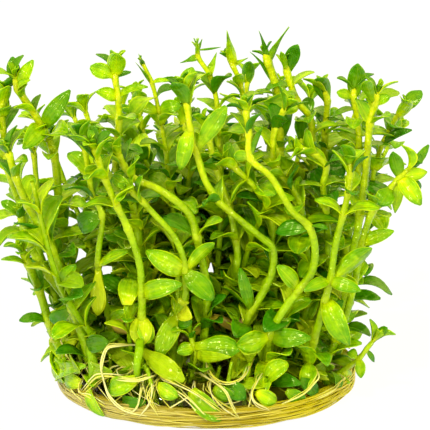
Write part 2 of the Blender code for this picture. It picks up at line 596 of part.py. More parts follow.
def build_shoots(shoots, obstacles, collection):
    """Every shoot as one closed solid: the stem first, then the leaves that find room."""
    growing = []
    for shoot in shoots:
        bm = bmesh.new()
        sections, node_ends = stem_sections(shoot)
        end, sides = grow_stem(bm, sections)
        bud = shoot.points[-1] + shoot.ways[-1] * BUD_LENGTH
        tip = grow(bm, end, [bud] * 4)
        bmesh.ops.pointmerge(bm, verts=tip.verts[:], merge_co=bud)
        obstacles.add(*mesh_data(bm), shoot.name)
        growing.append((shoot, bm, node_ends, sides))
    for shoot, bm, node_ends, sides in growing:
        for index, side, shapes in leaf_plans(shoot):
            face = sides[node_ends[index]][side]
            free = (shape for shape in shapes if not obstacles.meets(shape, face, shoot))
            leaf = next((shape for shape in free if not crosses_itself(bm, face, shape)), None)
            if leaf:
                obstacles.add(*leaf_surface(leaf, face, LEAF_FROM, 0.0), shoot.name)
                grow_leaf(bm, face, leaf)
        add_mesh(shoot.name, bm, collection, principled("leaf green of " + shoot.name, LEAF_COLOUR, 0.4))


def add_mesh(name, bm, collection, material):
    """Turn a bmesh into an object with its material."""
    mesh = bpy.data.meshes.new(name)
    bm.to_mesh(mesh)
    bm.free()
    obj = bpy.data.objects.new(name, mesh)
    collection.objects.link(obj)
    if material:
        obj.data.materials.append(material)
    return obj


def turned(name, profile, steps, collection, material, centre=Vector()):
    """A turned solid: the profile runs from the axis at the top, down its outer side, to the axis."""
    bm = bmesh.new()
    verts = [bm.verts.new((radius, 0.0, height)) for radius, height in profile]
    for upper, lower in zip(verts, verts[1:]):
        bm.edges.new((upper, lower))
    obj = add_mesh(name, bm, collection, material)
    obj.location = centre
    screw = obj.modifiers.new("turn", "SCREW")
    screw.steps = steps
    screw.render_steps = steps
    screw.use_merge_vertices = True
    screw.merge_threshold = 0.00001
    screw.use_normal_calculate = False
    return obj


def cutter_object(obj):
    """Mark an object as a cutter."""
    obj.hide_render = True
    obj.display_type = "WIRE"
    return obj


def socket_cutters(shoots, collection):
    """The lower end of every stem, a little fatter, as one cutter for the gel and the clump."""
    bm = bmesh.new()
    for shoot in shoots:
        sections = []
        for index, point in enumerate(shoot.points):
            way, side = shoot.ways[index], shoot.sides[index]
            radius = shoot.radius * NODE_SWELL + SOCKET_GAP
            start = point - way * GAP if index == 0 else point
            sections.append(ring_corners(start, way, side, radius))
            if index > 0 and point.z > SOCKET_TOP:
                break
        grow_stem(bm, sections)
    return cutter_object(add_mesh("stem_sockets", bm, collection, None))


def cut(obj, cutter):
    """Take one object's shape out of another."""
    boolean = obj.modifiers.new("cut " + cutter.name, "BOOLEAN")
    boolean.operation = "DIFFERENCE"
    boolean.solver = "EXACT"
    boolean.use_self = True
    boolean.object = cutter


def build_root_mat(collection, material):
    """The shallow dish of wound roots that the part rests on."""
    profile = (
        (0.0, MAT_FLOOR), (MAT_INNER_RADIUS, MAT_FLOOR), (MAT_CREST_RADIUS, MAT_RIM_HEIGHT),
        (PUCK_RADIUS - MAT_LIP, MAT_RIM_HEIGHT), (PUCK_RADIUS, MAT_WIDEST_HEIGHT),
        (PUCK_RADIUS - MAT_UNDERCUT, MAT_UNDERCUT_HEIGHT), (PUCK_RADIUS - MAT_FOOT_INSET, 0.0), (0.0, 0.0))
    return turned("root_mat", profile, PUCK_STEPS, collection, material)


def build_gel(collection, cutters, material, sockets):
    """The clear disc of gel in the dish, with a sloping top and room for the clump and the stems."""
    brim = GEL_HEIGHT + 2 * GEL_SLOPE * PUCK_RADIUS
    profile = (
        (0.0, brim), (GEL_TOP_RADIUS, brim), (PUCK_RADIUS, MAT_RIM_HEIGHT + GAP),
        (MAT_CREST_RADIUS - GAP / 2, MAT_RIM_HEIGHT + GAP), (MAT_INNER_RADIUS - GAP / 2, MAT_FLOOR + GAP),
        (0.0, MAT_FLOOR + GAP))
    gel = turned("gel", profile, PUCK_STEPS, collection, material)
    bm = bmesh.new()
    bmesh.ops.create_cube(bm, size=1.0)
    bmesh.ops.scale(bm, vec=(CUT_WIDTH, CUT_WIDTH, CUT_HEIGHT), verts=bm.verts)
    bmesh.ops.translate(bm, vec=(0.0, 0.0, CUT_HEIGHT / 2), verts=bm.verts)
    bmesh.ops.rotate(bm, matrix=Matrix.Rotation(math.atan(GEL_SLOPE), 3, "Y"), verts=bm.verts)
    bmesh.ops.translate(bm, vec=(0.0, 0.0, GEL_HEIGHT), verts=bm.verts)
    above = cutter_object(add_mesh("above_gel", bm, cutters, None))
    room = [(radius * MM + (GAP if radius else 0.0), height * MM) for radius, height in CLUMP_PROFILE]
    room[0] = (0.0, room[0][1] + GAP)
    room[-2] = (room[-2][0], room[-2][1] - GAP)
    room[-1] = (0.0, room[-1][1] - GAP)
    clump_room = cutter_object(turned("clump_room", room, CLUMP_STEPS, cutters, None, CLUMP_CENTRE))
    for cutter in (above, clump_room, sockets):
        cut(gel, cutter)
    return gel


def build_clump(collection, material, sockets):
    """The mound of old roots and dead leaves in the middle."""
    profile = [(radius * MM, height * MM) for radius, height in CLUMP_PROFILE]
    clump = turned("old_growth", profile, CLUMP_STEPS, collection, material, CLUMP_CENTRE)
    cut(clump, sockets)
    return clump


def principled(name, colour, roughness, transmission=0.0):
    """A plain Principled material."""
    material = bpy.data.materials.new(name)
    material.use_nodes = True
    shader = material.node_tree.nodes["Principled BSDF"]
    shader.inputs["Base Color"].default_value = (*colour, 1.0)
    shader.inputs["Roughness"].default_value = roughness
    shader.inputs["Metallic"].default_value = 0.0
    shader.inputs["Transmission Weight"].default_value = transmission
    return material


def add_evaluated(obj, obstacles):
    """Take an object as its modifiers leave it as an obstacle."""
    evaluated = obj.evaluated_get(bpy.context.evaluated_depsgraph_get())
    mesh = evaluated.to_mesh()
    verts = [obj.matrix_world @ vert.co for vert in mesh.vertices]
    obstacles.add(verts, [list(face.vertices) for face in mesh.polygons])
    evaluated.to_mesh_clear()


def main():
    for obj in list(bpy.data.objects):
        bpy.data.objects.remove(obj)
    plant = bpy.data.collections.new("lemon_bacopa")
    cutters = bpy.data.collections.new("cutters")
    for collection in (plant, cutters):
        bpy.context.scene.collection.children.link(collection)
    shoots = planned_shoots()
    sockets = socket_cutters(shoots, cutters)
    mat = build_root_mat(plant, principled("wound roots", (0.72, 0.55, 0.10), 0.45))
    gel = build_gel(plant, cutters, principled("clear gel", (0.95, 0.95, 0.85), 0.08, 0.9), sockets)
    clump = build_clump(plant, principled("old roots", (0.10, 0.07, 0.02), 0.7), sockets)
    bpy.context.view_layer.update()
    obstacles = Obstacles()
    for obj in (mat, gel, clump):
        add_evaluated(obj, obstacles)
    build_shoots(shoots, obstacles, plant)


if __name__ == "__main__":
    main()
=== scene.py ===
"""Dresses a lemon bacopa in its gel puck: stems, leaves, gel, roots, old growth and a studio.

The solids give each stem's centre line and the foot, tip and width of each leaf. Everything is in metres.
"""

import math
import random

import bmesh
import bpy
from bpy.props import FloatProperty, FloatVectorProperty, IntProperty, PointerProperty
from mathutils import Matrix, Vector, kdtree, noise


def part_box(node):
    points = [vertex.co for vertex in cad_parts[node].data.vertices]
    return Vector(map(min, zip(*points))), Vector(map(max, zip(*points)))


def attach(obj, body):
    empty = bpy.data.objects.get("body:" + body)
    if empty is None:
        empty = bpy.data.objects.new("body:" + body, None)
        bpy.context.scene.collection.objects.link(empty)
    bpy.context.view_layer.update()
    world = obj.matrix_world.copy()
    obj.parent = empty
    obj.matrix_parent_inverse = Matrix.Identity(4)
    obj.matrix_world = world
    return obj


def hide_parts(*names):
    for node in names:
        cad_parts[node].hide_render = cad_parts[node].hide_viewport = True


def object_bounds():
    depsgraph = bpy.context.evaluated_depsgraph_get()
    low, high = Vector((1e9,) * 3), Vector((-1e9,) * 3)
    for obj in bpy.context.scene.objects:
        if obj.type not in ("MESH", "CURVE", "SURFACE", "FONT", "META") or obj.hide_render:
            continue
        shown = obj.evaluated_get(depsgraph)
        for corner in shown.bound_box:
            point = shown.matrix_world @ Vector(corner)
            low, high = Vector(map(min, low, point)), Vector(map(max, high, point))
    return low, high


bl_info = {
    "name": "Lemon Bacopa in a Gel Puck",
    "version": (1, 0, 0),
    "blender": (4, 5, 0),
    "location": "View3D > Sidebar > Lemon Bacopa",
    "description": "Grows the stems, leaves, gel and roots of a lemon bacopa round its solids",
    "category": "Object",
}

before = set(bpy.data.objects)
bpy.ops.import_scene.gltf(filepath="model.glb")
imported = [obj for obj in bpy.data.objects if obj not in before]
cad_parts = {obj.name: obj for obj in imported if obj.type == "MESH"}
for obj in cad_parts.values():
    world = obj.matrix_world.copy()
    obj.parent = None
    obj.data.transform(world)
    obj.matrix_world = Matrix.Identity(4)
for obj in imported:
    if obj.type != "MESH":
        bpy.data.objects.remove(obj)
CAD_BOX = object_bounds()

# Without a seed of its own the noise by which roots stray would differ from run to run.
noise.seed_set(1)

BODY = "root"
MM = 0.001

# The photograph's view, which the places below are read in: columns and rows of its 430 pixels.
PICTURE_SIZE = 430
PICTURE_MIDDLE = 215.0
FOCAL_PIXELS = 2128.0
SENSOR_WIDTH = 36.0
VIEW_ELEVATION = math.radians(14.0)
VIEW_DISTANCE = 0.450
VIEW_TARGET = Vector((0.0019, 0.0, 0.0367))
FORWARD = Vector((0.0, math.cos(VIEW_ELEVATION), -math.sin(VIEW_ELEVATION)))
UPWARD = Vector((0.0, math.sin(VIEW_ELEVATION), math.cos(VIEW_ELEVATION)))
EYE = VIEW_TARGET - FORWARD * VIEW_DISTANCE

# What a solid's mesh says of a stem: how far apart the two sections of a node are, and how much the
# corners of its square section stand out of the round stem.
NODE_SPAN = 2.3 * MM
CORNER_REACH = 1.42
NODE_CORNER_REACH = 1.72
SQUARE_ENOUGH = 1.35

# Blade outlines: half width at even steps from the foot of the leaf to its tip, as a share of the widest.
OUTLINES = {
    "broad": (0.44, 0.66, 0.86, 0.98, 1.00, 0.95, 0.81, 0.55, 0.14),
    "oval": (0.40, 0.55, 0.76, 0.93, 1.00, 0.98, 0.88, 0.64, 0.18),
    "spoon": (0.34, 0.38, 0.52, 0.74, 0.93, 1.00, 0.95, 0.74, 0.22),
    "narrow": (0.50, 0.66, 0.84, 0.97, 1.00, 0.92, 0.74, 0.46, 0.08),
    "tapered": (0.74, 0.96, 1.00, 0.86, 0.64, 0.44, 0.30, 0.19, 0.06),
}
BLADE_COLUMNS = 8
BLADE_ROWS = 4
GROWN_KINDS = ("broad", "oval", "spoon")

# How far leaf pairs stand apart, the row above which they are small, and their two ranges of length.
FILL_STEP = 3.4 * MM
FULL_ROW = 125
SHORT_LEAF = (3.8, 7.2)
LONG_LEAF = (5.4, 9.2)

# How wide leaves are against those of the solids, and how far they keep from stems, the box and the floor.
LEAF_GROWTH = 1.12
LEAF_CLEARANCE = 1.5 * MM
BOX_MARGIN = 0.1 * MM
LEAF_MARGIN = 0.4 * MM
FLOOR_GAP = 0.005 * MM

# The radius to which stems run out at their ends, and how far small shoots keep from the stems.
POINT = 0.01 * MM
STEM_GAP = 1.6 * MM

# The side that the painted light comes from: the side of a stem that faces it is painted yellow, and the side
# away from it is painted deep green as painted shade.
PAINTED_LIGHT_SIDE = Vector((-0.35, -0.88, 0.32)).normalized()

# The matted band under the wound roots.
BAND_INSET = 2.6 * MM
BAND_HEIGHT = 3.0 * MM
BAND_FOOT = 0.5 * MM
MAT_DEPTH = 0.9 * MM
MAT_FOOT = 0.25 * MM

# How much lower the roots stand at the left of the rim than elsewhere, as a share of their height.
LEFT_FALL = 0.75

# Shoots whose bare stems show in the picture: more leaves fill them only up to this height in mm.
BARE_STEMS = {
    "shoot_01": 13, "shoot_04": 14, "shoot_05": 9, "shoot_06": 14, "shoot_07": 13, "shoot_09": 26,
    "shoot_10": 12, "shoot_11": 18, "shoot_13": 22, "shoot_14": 12, "shoot_17": 13, "shoot_21": 14,
    "shoot_18": 24, "shoot_29": 0, "shoot_30": 9,
}

# How much thicker some stems are than the rest.
STEM_GROWTH = {
    "shoot_01": 1.12, "shoot_02": 1.42, "shoot_03": 1.30, "shoot_04": 1.25, "shoot_05": 1.25,
    "shoot_08": 1.10, "shoot_09": 1.12, "shoot_11": 1.15, "shoot_12": 1.25, "shoot_14": 1.10,
    "shoot_15": 1.30, "shoot_16": 1.30, "shoot_18": 1.25, "shoot_19": 1.35, "shoot_20": 1.20,
    "shoot_21": 1.12, "shoot_22": 1.30, "shoot_23": 1.35, "shoot_24": 1.25, "shoot_26": 1.10,
    "shoot_27": 1.15, "shoot_28": 1.30,
}

# Shoots whose leaves above a row taper to long thin tips, and how wide such a leaf is.
TAPERED_SHOOTS = ("shoot_23", "shoot_25", "shoot_26", "shoot_27")
TAPERED_ROW = 64
TAPERED_WIDTH = 0.72

# Shoots with smaller and with thin young leaves, and how large and how wide those are.
SMALL_TIPS = ("shoot_22", "shoot_23", "shoot_27")
THIN_TIPS = ("shoot_25", "shoot_26")
SMALL_SIZE = 0.6
THIN_WIDTH = 0.7

# The shoot whose longest leaf is narrow at its foot, and how wide that leaf is.
STALKED_LEAF = "shoot_11"
STALKED_WIDTH = 0.8

# Places where the picture shows white ground through the tuft, as (left, top, right, bottom).
HOLES = (
    (147, 138, 166, 166), (56, 143, 81, 181), (24, 150, 46, 181), (0, 178, 9, 196), (289, 128, 301, 161),
    (394, 152, 411, 176), (207, 262, 222, 280),
)

# Where the low front of the picture shows only the leaves and roots that are listed below, and how far
# forward the foot of a leaf has to be to hide it.
CLEAR_FRONT = (98, 328, 240, 402)
CLEAR_DEPTH = -4 * MM

# The top outline of the tuft in the picture, as (column, row) from left to right.
OUTLINE_TOP = (
    (0, 60), (35, 70), (60, 88), (90, 62), (125, 55), (145, 62), (170, 62), (197, 40), (226, 30), (250, 60),
    (262, 32), (290, 28), (302, 50), (330, 85), (357, 66), (385, 82), (412, 98), (430, 140),
)

# Leaves in the picture that the solids leave out: the shoot they grow from, the place on its stem, the tip,
# how far that comes forward to the wall of the puck (1 is at the wall), width in mm, kind, and how yellow
# they are.
LOW_LEAVES = (
    ("shoot_07", (146, 350), (184, 381), 0.8, 4.2, "spoon", 0.5),
    ("shoot_07", (139, 318), (140, 346), 0.25, 4.6, "broad", 0.5),
    ("shoot_10", (172, 316), (158, 358), 0.3, 4.2, "broad", 0.15),
    ("shoot_14", (266, 362), (262, 401), 0.8, 4.0, "broad", 0.0),
    ("shoot_14", (268, 376), (301, 384), 0.8, 3.4, "oval", 0.0),
    ("shoot_11", (248, 352), (232, 379), 0.5, 3.6, "broad", 0.35),
    ("shoot_01", (86, 345), (108, 342), 0.6, 3.8, "spoon", 0.1),
    ("shoot_06", (108, 340), (135, 374), 0.6, 4.6, "broad", 0.7),
    ("shoot_06", (112, 338), (84, 356), 0.6, 3.2, "broad", 0.1),
    ("shoot_06", (99, 268), (98, 315), 0.1, 3.2, "spoon", 0.7),
    ("shoot_17", (312, 362), (308, 391), 0.8, 3.6, "spoon", 0.05),
    ("shoot_17", (313, 372), (329, 380), 0.6, 1.8, "narrow", 0.8),
    ("shoot_17", (320, 322), (343, 300), 0.1, 2.4, "oval", 0.0),
    ("shoot_18", (340, 322), (355, 314), 0.1, 2.0, "oval", 0.0),
    ("shoot_30", (197, 356), (231, 357), 0.7, 2.4, "narrow", 0.3),
    ("shoot_10", (172, 296), (182, 306), 0.1, 2.4, "broad", 1.0),
    ("shoot_10", (174, 308), (192, 318), 0.3, 3.4, "broad", 1.0),
    ("shoot_07", (141, 372), (110, 386), 0.8, 4.4, "broad", 0.1),
    ("shoot_21", (318, 372), (341, 388), 0.6, 2.6, "oval", 0.0),
    ("shoot_29", (330, 378), (350, 383), 0.6, 2.6, "broad", 0.1),
    ("shoot_26", (198, 42), (221, 47), 0.0, 0.5, "narrow", 0.0),
    ("shoot_21", (402, 178), (427, 172), 0.0, 2.8, "broad", 0.1),
    ("shoot_21", (402, 178), (395, 213), 0.0, 2.4, "narrow", 0.1),
    ("shoot_21", (403, 176), (420, 190), 0.1, 2.6, "oval", 0.0),
)

# Leaves that lie in the gel: foot and tip in the picture, how far in from the wall in mm, width in mm.
SUNKEN_LEAVES = (
    ((90, 386), (104, 416), 0.2, 3.4, "broad"), ((137, 378), (109, 390), 1.2, 4.0, "oval"),
    ((192, 390), (221, 421), 0.5, 4.2, "broad"), ((286, 391), (304, 403), 1.2, 3.0, "oval"),
    ((332, 372), (337, 390), 1.0, 2.8, "spoon"), ((342, 371), (352, 383), 0.8, 2.4, "oval"),
    ((158, 385), (178, 397), 1.3, 3.4, "oval"), ((214, 388), (234, 396), 1.5, 3.2, "oval"),
    ((228, 384), (246, 398), 1.8, 3.6, "broad"), ((256, 392), (276, 402), 1.3, 3.2, "oval"),
    ((122, 398), (146, 402), 1.4, 2.8, "broad"), ((300, 380), (318, 396), 1.5, 3.4, "oval"),
    ((90, 362), (112, 372), 1.8, 3.6, "oval"), ((310, 372), (328, 360), 4.0, 3.8, "oval"),
    ((66, 346), (72, 378), 0.7, 4.2, "oval"), ((64, 376), (86, 366), 0.8, 4.0, "broad"),
    ((76, 340), (66, 362), 1.4, 3.6, "oval"), ((60, 346), (64, 382), 0.2, 4.6, "oval"),
    ((82, 384), (60, 370), 0.2, 4.2, "broad"), ((70, 352), (80, 372), 0.2, 3.6, "oval"),
)

# Stretches of stem low in the picture that are pressed against the wall of the gel: radius in mm at both
# ends, and places in the picture with the inset from the wall in mm.
WALL_STEMS = (
    (1.50, 1.9, ((54, 320, 5.0), (57, 336, 2.6), (60, 352, 2.2), (62, 368, 2.1), (67, 382, 2.2))),
    (1.15, 1.0, ((83, 312, 9.0), (86, 330, 5.0), (90, 348, 3.0), (93, 364, 2.0), (93, 380, 2.4))),
    (0.95, 0.7, ((140, 340, 7.0), (139, 352, 4.0), (137, 364, 2.6), (137, 377, 3.0))),
)

# Dead leaves that the picture shows on the mound: foot and tip in the picture, the depth of both and the
# width in mm, and how far each is painted in the lit gold, painted light that stands for light falling on it.
ARCHED_LEAVES = (
    ((187, 336), (221, 316), -15.0, -14.0, 2.3, 0.75), ((213, 316), (247, 333), -14.0, -13.0, 2.2, 0.0),
    ((112, 322), (130, 334), -16.0, -17.0, 3.0, 0.3), ((232, 322), (252, 318), -12.0, -12.0, 2.0, 0.2),
)

# How far the mound keeps inside its solid, at its sides and its top, so that its lumps have room.
MOUND_SIDE = 2.6 * MM
MOUND_TOP = 4.2 * MM

# Grey lumps of old matter between the stems: place in the picture, depth and radius in mm.
GREY_LUMPS = ((194, 362, -13.5, 1.5), (199, 366, -12.5, 1.2))

# How far loose roots lie inside the puck's wall, how far they keep from it when low, and what low is.
LOOSE_INSET = 0.35 * MM
ROOT_INSET = 0.3 * MM
LOW_HEIGHT = 12 * MM

# Loose roots: the shoot that they hang from, radius in mm, and places in the picture, each with a share of
# the way from the wall of the puck back to that shoot.
LOOSE_ROOTS = (
    ("shoot_07", 0.20, ((136, 345, 1.0), (116, 345, 0.7), (105, 349, 0.4), (100, 366, 0.1),
                        (103, 385, 0.0), (108, 398, 0.0), (122, 410, 0.0), (146, 416, 0.0))),
    ("shoot_01", 0.18, ((84, 376, 1.0), (79, 384, 0.4), (74, 392, 0.0), (88, 398, 0.1), (104, 407, 0.0))),
    ("shoot_07", 0.20, ((140, 368, 1.0), (124, 378, 0.4), (108, 376, 0.2), (95, 378, 0.1), (79, 392, 0.0))),
    ("shoot_10", 0.20, ((168, 364, 1.0), (157, 374, 0.5), (150, 377, 0.2), (138, 381, 0.1), (115, 380, 0.0))),
    ("shoot_10", 0.17, ((170, 366, 1.0), (160, 376, 0.4), (176, 385, 0.1), (197, 395, 0.0), (221, 412, 0.0))),
    ("shoot_09", 0.18, ((188, 371, 1.0), (206, 377, 0.3), (225, 392, 0.0), (232, 407, 0.0), (240, 419, 0.0))),
    ("shoot_09", 0.17, ((199, 352, 1.0), (206, 364, 0.6), (214, 377, 0.3), (229, 382, 0.1),
                        (246, 373, 0.3), (255, 358, 0.8))),
    ("shoot_07", 0.16, ((143, 372, 1.0), (141, 392, 0.1), (137, 408, 0.0), (124, 414, 0.0))),
    ("shoot_07", 0.15, ((146, 372, 1.0), (152, 384, 0.2), (150, 402, 0.0), (139, 417, 0.0))),
    ("shoot_10", 0.15, ((165, 370, 1.0), (155, 382, 0.3), (147, 398, 0.0), (158, 416, 0.0))),
    ("shoot_10", 0.13, ((166, 370, 1.0), (168, 384, 0.3), (186, 398, 0.0), (210, 420, 0.0))),
    ("shoot_05", 0.15, ((62, 338, 1.0), (58, 352, 0.2), (66, 367, 0.0), (62, 384, 0.0), (78, 404, 0.0))),
    ("shoot_05", 0.13, ((54, 332, 0.3), (51, 340, 0.0), (51, 356, 0.0), (53, 372, 0.0), (57, 388, 0.0))),
    ("shoot_05", 0.11, ((58, 330, 0.3), (53, 338, 0.0), (52, 350, 0.0), (55, 366, 0.0), (62, 392, 0.0))),
    ("shoot_30", 0.16, ((214, 372, 1.0), (210, 392, 0.1), (222, 408, 0.0), (238, 418, 0.0))),
    ("shoot_14", 0.16, ((268, 366, 1.0), (256, 384, 0.2), (252, 400, 0.0), (268, 410, 0.0))),
    ("shoot_17", 0.18, ((312, 364, 1.0), (318, 380, 0.1), (306, 394, 0.0), (282, 405, 0.0))),
    ("shoot_29", 0.16, ((340, 374, 1.0), (346, 382, 0.1), (338, 392, 0.0), (318, 400, 0.0))),
)


class LeafSettings(bpy.types.PropertyGroup):
    """Size and colour of the leaves."""

    thickness: FloatProperty(
        name="Thickness", description="Thickness along the middle of a blade", default=0.34 * MM,
        unit="LENGTH")
    arch: FloatProperty(
        name="Arch", description="Rise of the blade over its chord, as a share of its length", default=0.10)
    cup: FloatProperty(
        name="Cup", description="Rise of the edges over the midrib, as a share of the width", default=0.17)
    sunken_count: IntProperty(
        name="Sunken leaves", description="Leaves in the gel besides those in the picture", default=60)
    foot_colour: FloatVectorProperty(
        name="Foot colour", description="Colour where the blade clasps the stem", subtype="COLOR",
        default=(0.47, 0.60, 0.001))
    blade_colour: FloatVectorProperty(
        name="Blade colour", description="Colour of the middle of a blade", subtype="COLOR",
        default=(0.195, 0.395, 0.001))
    tip_colour: FloatVectorProperty(
        name="Tip colour", description="Colour of the tip of a blade", subtype="COLOR",
        default=(0.078, 0.275, 0.001))
    dark_colour: FloatVectorProperty(
        name="Dark colour", description="Colour of the deep green patches", subtype="COLOR",
        default=(0.033, 0.19, 0.001))
    old_colour: FloatVectorProperty(
        name="Old colour", description="Colour of a leaf that is turning yellow", subtype="COLOR",
        default=(0.46, 0.53, 0.008))


class StemSettings(bpy.types.PropertyGroup):
    """Shape and colour of the stems."""

    step: FloatProperty(
        name="Step", description="Distance between two rings of a stem", default=0.9 * MM, unit="LENGTH")
    swell: FloatProperty(
        name="Node swell", description="Thickness of a node against the stem", default=1.24)
    young_colour: FloatVectorProperty(
        name="Young colour", description="Colour of the upper stem", subtype="COLOR",
        default=(0.64, 0.68, 0.001))
    low_colour: FloatVectorProperty(
        name="Low colour", description="Colour of the stem near the gel", subtype="COLOR",
        default=(0.29, 0.46, 0.001))
    # The deep colour is also painted shade: the side of a stem that faces away from the light side is painted
    # in it.
    deep_and_shade_colour: FloatVectorProperty(
        name="Deep colour", description="Colour of the stem in the gel", subtype="COLOR",
        default=(0.23, 0.42, 0.001))
    node_colour: FloatVectorProperty(
        name="Node colour", description="Colour of the stem at a node", subtype="COLOR",
        default=(0.52, 0.62, 0.01))


class GelSettings(bpy.types.PropertyGroup):
    """Look of the clear gel."""

    height: FloatProperty(
        name="Height", description="Height of the gel's top over its middle", default=7.2 * MM, unit="LENGTH")
    inset: FloatProperty(
        name="Inset", description="Distance of the gel's wall in from the roots' outer edge",
        default=2.3 * MM, unit="LENGTH")
    slope: FloatProperty(
        name="Slope", description="Fall of the gel's top from left to right", default=0.135)
    absorption_colour: FloatVectorProperty(
        name="Absorption colour", description="Colour that light takes on in the gel", subtype="COLOR",
        default=(0.93, 0.88, 0.45))
    density: FloatProperty(
        name="Density", description="How strongly the gel takes up light, per metre", default=12.0)


class RootSettings(bpy.types.PropertyGroup):
    """Number, thickness and colour of the roots."""

    ring_count: IntProperty(
        name="Ring roots", description="Roots wound round the rim", default=330)
    floor_count: IntProperty(
        name="Floor roots", description="Roots that cross the underside", default=120)
    radius: FloatProperty(
        name="Radius", description="Radius of a root", default=0.15 * MM, unit="LENGTH")
    colour: FloatVectorProperty(
        name="Colour", description="Colour of a root", subtype="COLOR", default=(0.36, 0.27, 0.003))
    gel_count: IntProperty(name="Gel roots", description="Fine roots down through the gel", default=70)
    loose_colour: FloatVectorProperty(
        name="Loose colour", description="Colour of a loose root", subtype="COLOR",
        default=(0.66, 0.62, 0.08))
    white_colour: FloatVectorProperty(
        name="White colour", description="Colour of a fresh loose root", subtype="COLOR",
        default=(0.80, 0.76, 0.34))
    left_colour: FloatVectorProperty(
        name="Left colour", description="Colour of the roots at the left of the rim", subtype="COLOR",
        default=(0.52, 0.45, 0.16))
    right_colour: FloatVectorProperty(
        name="Right colour", description="Colour of the roots at the right of the rim", subtype="COLOR",
        default=(0.66, 0.56, 0.002))
    pale_colour: FloatVectorProperty(
        name="Pale colour", description="Colour of a young root", subtype="COLOR",
        default=(0.62, 0.52, 0.09))
    band_colour: FloatVectorProperty(
        name="Band colour", description="Colour of the matted band", subtype="COLOR",
        default=(0.40, 0.28, 0.004))
    band_pale: FloatVectorProperty(
        name="Band streaks", description="Colour of the pale streaks in the matted band", subtype="COLOR",
        default=(0.74, 0.60, 0.07))
    floor_colour: FloatVectorProperty(
        name="Underside colour", description="Colour of the mat on the underside", subtype="COLOR",
        default=(0.28, 0.23, 0.02))
    floor_pale: FloatVectorProperty(
        name="Underside streaks", description="Colour of the pale roots of that mat", subtype="COLOR",
        default=(0.56, 0.48, 0.05))


class UndergrowthSettings(bpy.types.PropertyGroup):
    """Number and size of the small side shoots."""

    count: IntProperty(name="Side shoots", description="Small shoots between the stems", default=90)
    heights: FloatVectorProperty(
        name="Heights", description="Lowest and greatest height of a side shoot", size=2,
        default=(7 * MM, 22 * MM), unit="LENGTH")
    inner_count: IntProperty(
        name="Inner shoots", description="Taller small shoots inside the tuft", default=40)
    inner_heights: FloatVectorProperty(
        name="Inner heights", description="Lowest and greatest height of an inner shoot", size=2,
        default=(22 * MM, 50 * MM), unit="LENGTH")


class LitterSettings(bpy.types.PropertyGroup):
    """Amount and colour of the old roots and dead leaves."""

    fibres: IntProperty(name="Old roots", description="Thin old roots over the mound", default=260)
    dead_leaves: IntProperty(name="Dead leaves", description="Limp leaves on the mound", default=80)
    dark: FloatVectorProperty(
        name="Dark", description="Colour in the depth of the mound", subtype="COLOR",
        default=(0.15, 0.12, 0.012))
    brown: FloatVectorProperty(
        name="Brown", description="Colour of old roots", subtype="COLOR", default=(0.28, 0.20, 0.02))
    olive: FloatVectorProperty(
        name="Olive", description="Colour of limp leaves", subtype="COLOR", default=(0.50, 0.48, 0.03))
    # Painted light: the lit gold is the colour of dead leaves where light falls on them.
    lit_gold: FloatVectorProperty(
        name="Gold", description="Colour of the lit dead leaves", subtype="COLOR",
        default=(0.40, 0.33, 0.008))
    grey: FloatVectorProperty(
        name="Grey", description="Colour of wet old matter", subtype="COLOR", default=(0.46, 0.44, 0.34))


class StageSettings(bpy.types.PropertyGroup):
    """Lights of the studio."""

    sun_strength: FloatProperty(name="Sun", description="Strength of the key light", default=1.35)
    front_strength: FloatProperty(name="Front", description="Strength of the low front light", default=0.8)
    right_strength: FloatProperty(name="Right", description="Strength of the light at the right", default=0.6)
    sun_angle: FloatProperty(
        name="Sun size", description="Width of the key light as seen from the plant",
        default=math.radians(3.0), unit="ROTATION")
    surround: FloatProperty(
        name="Surround", description="Brightness of the light from all sides", default=1.4)
    floor_glow: FloatProperty(
        name="Floor glow", description="Light that the white floor gives of its own", default=0.95)
    surround_colour: FloatVectorProperty(
        name="Surround colour", description="Colour of the light from all sides", subtype="COLOR",
        default=(1.0, 0.99, 0.3))


def seen_at(column, row, depth):
    """The point seen at that column and row, depth metres behind the puck's middle."""
    ray = picture_ray(column, row)
    return EYE + ray * ((depth - EYE.y) / ray.y)


def picture_ray(column, row):
    """The direction from the eye through a place in the picture."""
    across = Vector((1.0, 0.0, 0.0)) * (column - PICTURE_MIDDLE) / FOCAL_PIXELS
    return FORWARD + across - UPWARD * (row - PICTURE_MIDDLE) / FOCAL_PIXELS


def picture_place(point):
    """Column and row at which a point is seen."""
    ray = point - EYE
    reach = ray.dot(FORWARD)
    column = PICTURE_MIDDLE + FOCAL_PIXELS * ray.x / reach
    return column, PICTURE_MIDDLE - FOCAL_PIXELS * ray.dot(UPWARD) / reach


def select_only(obj):
    """Make one object active and the only one selected."""
    bpy.ops.object.select_all(action="DESELECT")
    obj.select_set(True)
    bpy.context.view_layer.objects.active = obj


def apply_modifiers(obj):
    """Apply every modifier of an object."""
    select_only(obj)
    for modifier in list(obj.modifiers):
        bpy.ops.object.modifier_apply(modifier=modifier.name)


def added(add, name, **values):
    """Add a primitive with nothing else selected, and name it."""
    bpy.ops.object.select_all(action="DESELECT")
    add(**values)
    obj = bpy.context.view_layer.objects.active
    obj.name = name
    return obj


def joined(pieces, name):
    """Join objects into one and name it."""
    bpy.ops.object.select_all(action="DESELECT")
    for piece in pieces:
        piece.select_set(True)
    bpy.context.view_layer.objects.active = pieces[0]
    if len(pieces) > 1:
        bpy.ops.object.join()
    pieces[0].name = name
    pieces[0].data.name = name
    return pieces[0]


def new_object(data):
    """Put a mesh, curve, camera or light in the scene as an object."""
    obj = bpy.data.objects.new(data.name, data)
    bpy.context.scene.collection.objects.link(obj)
    return obj


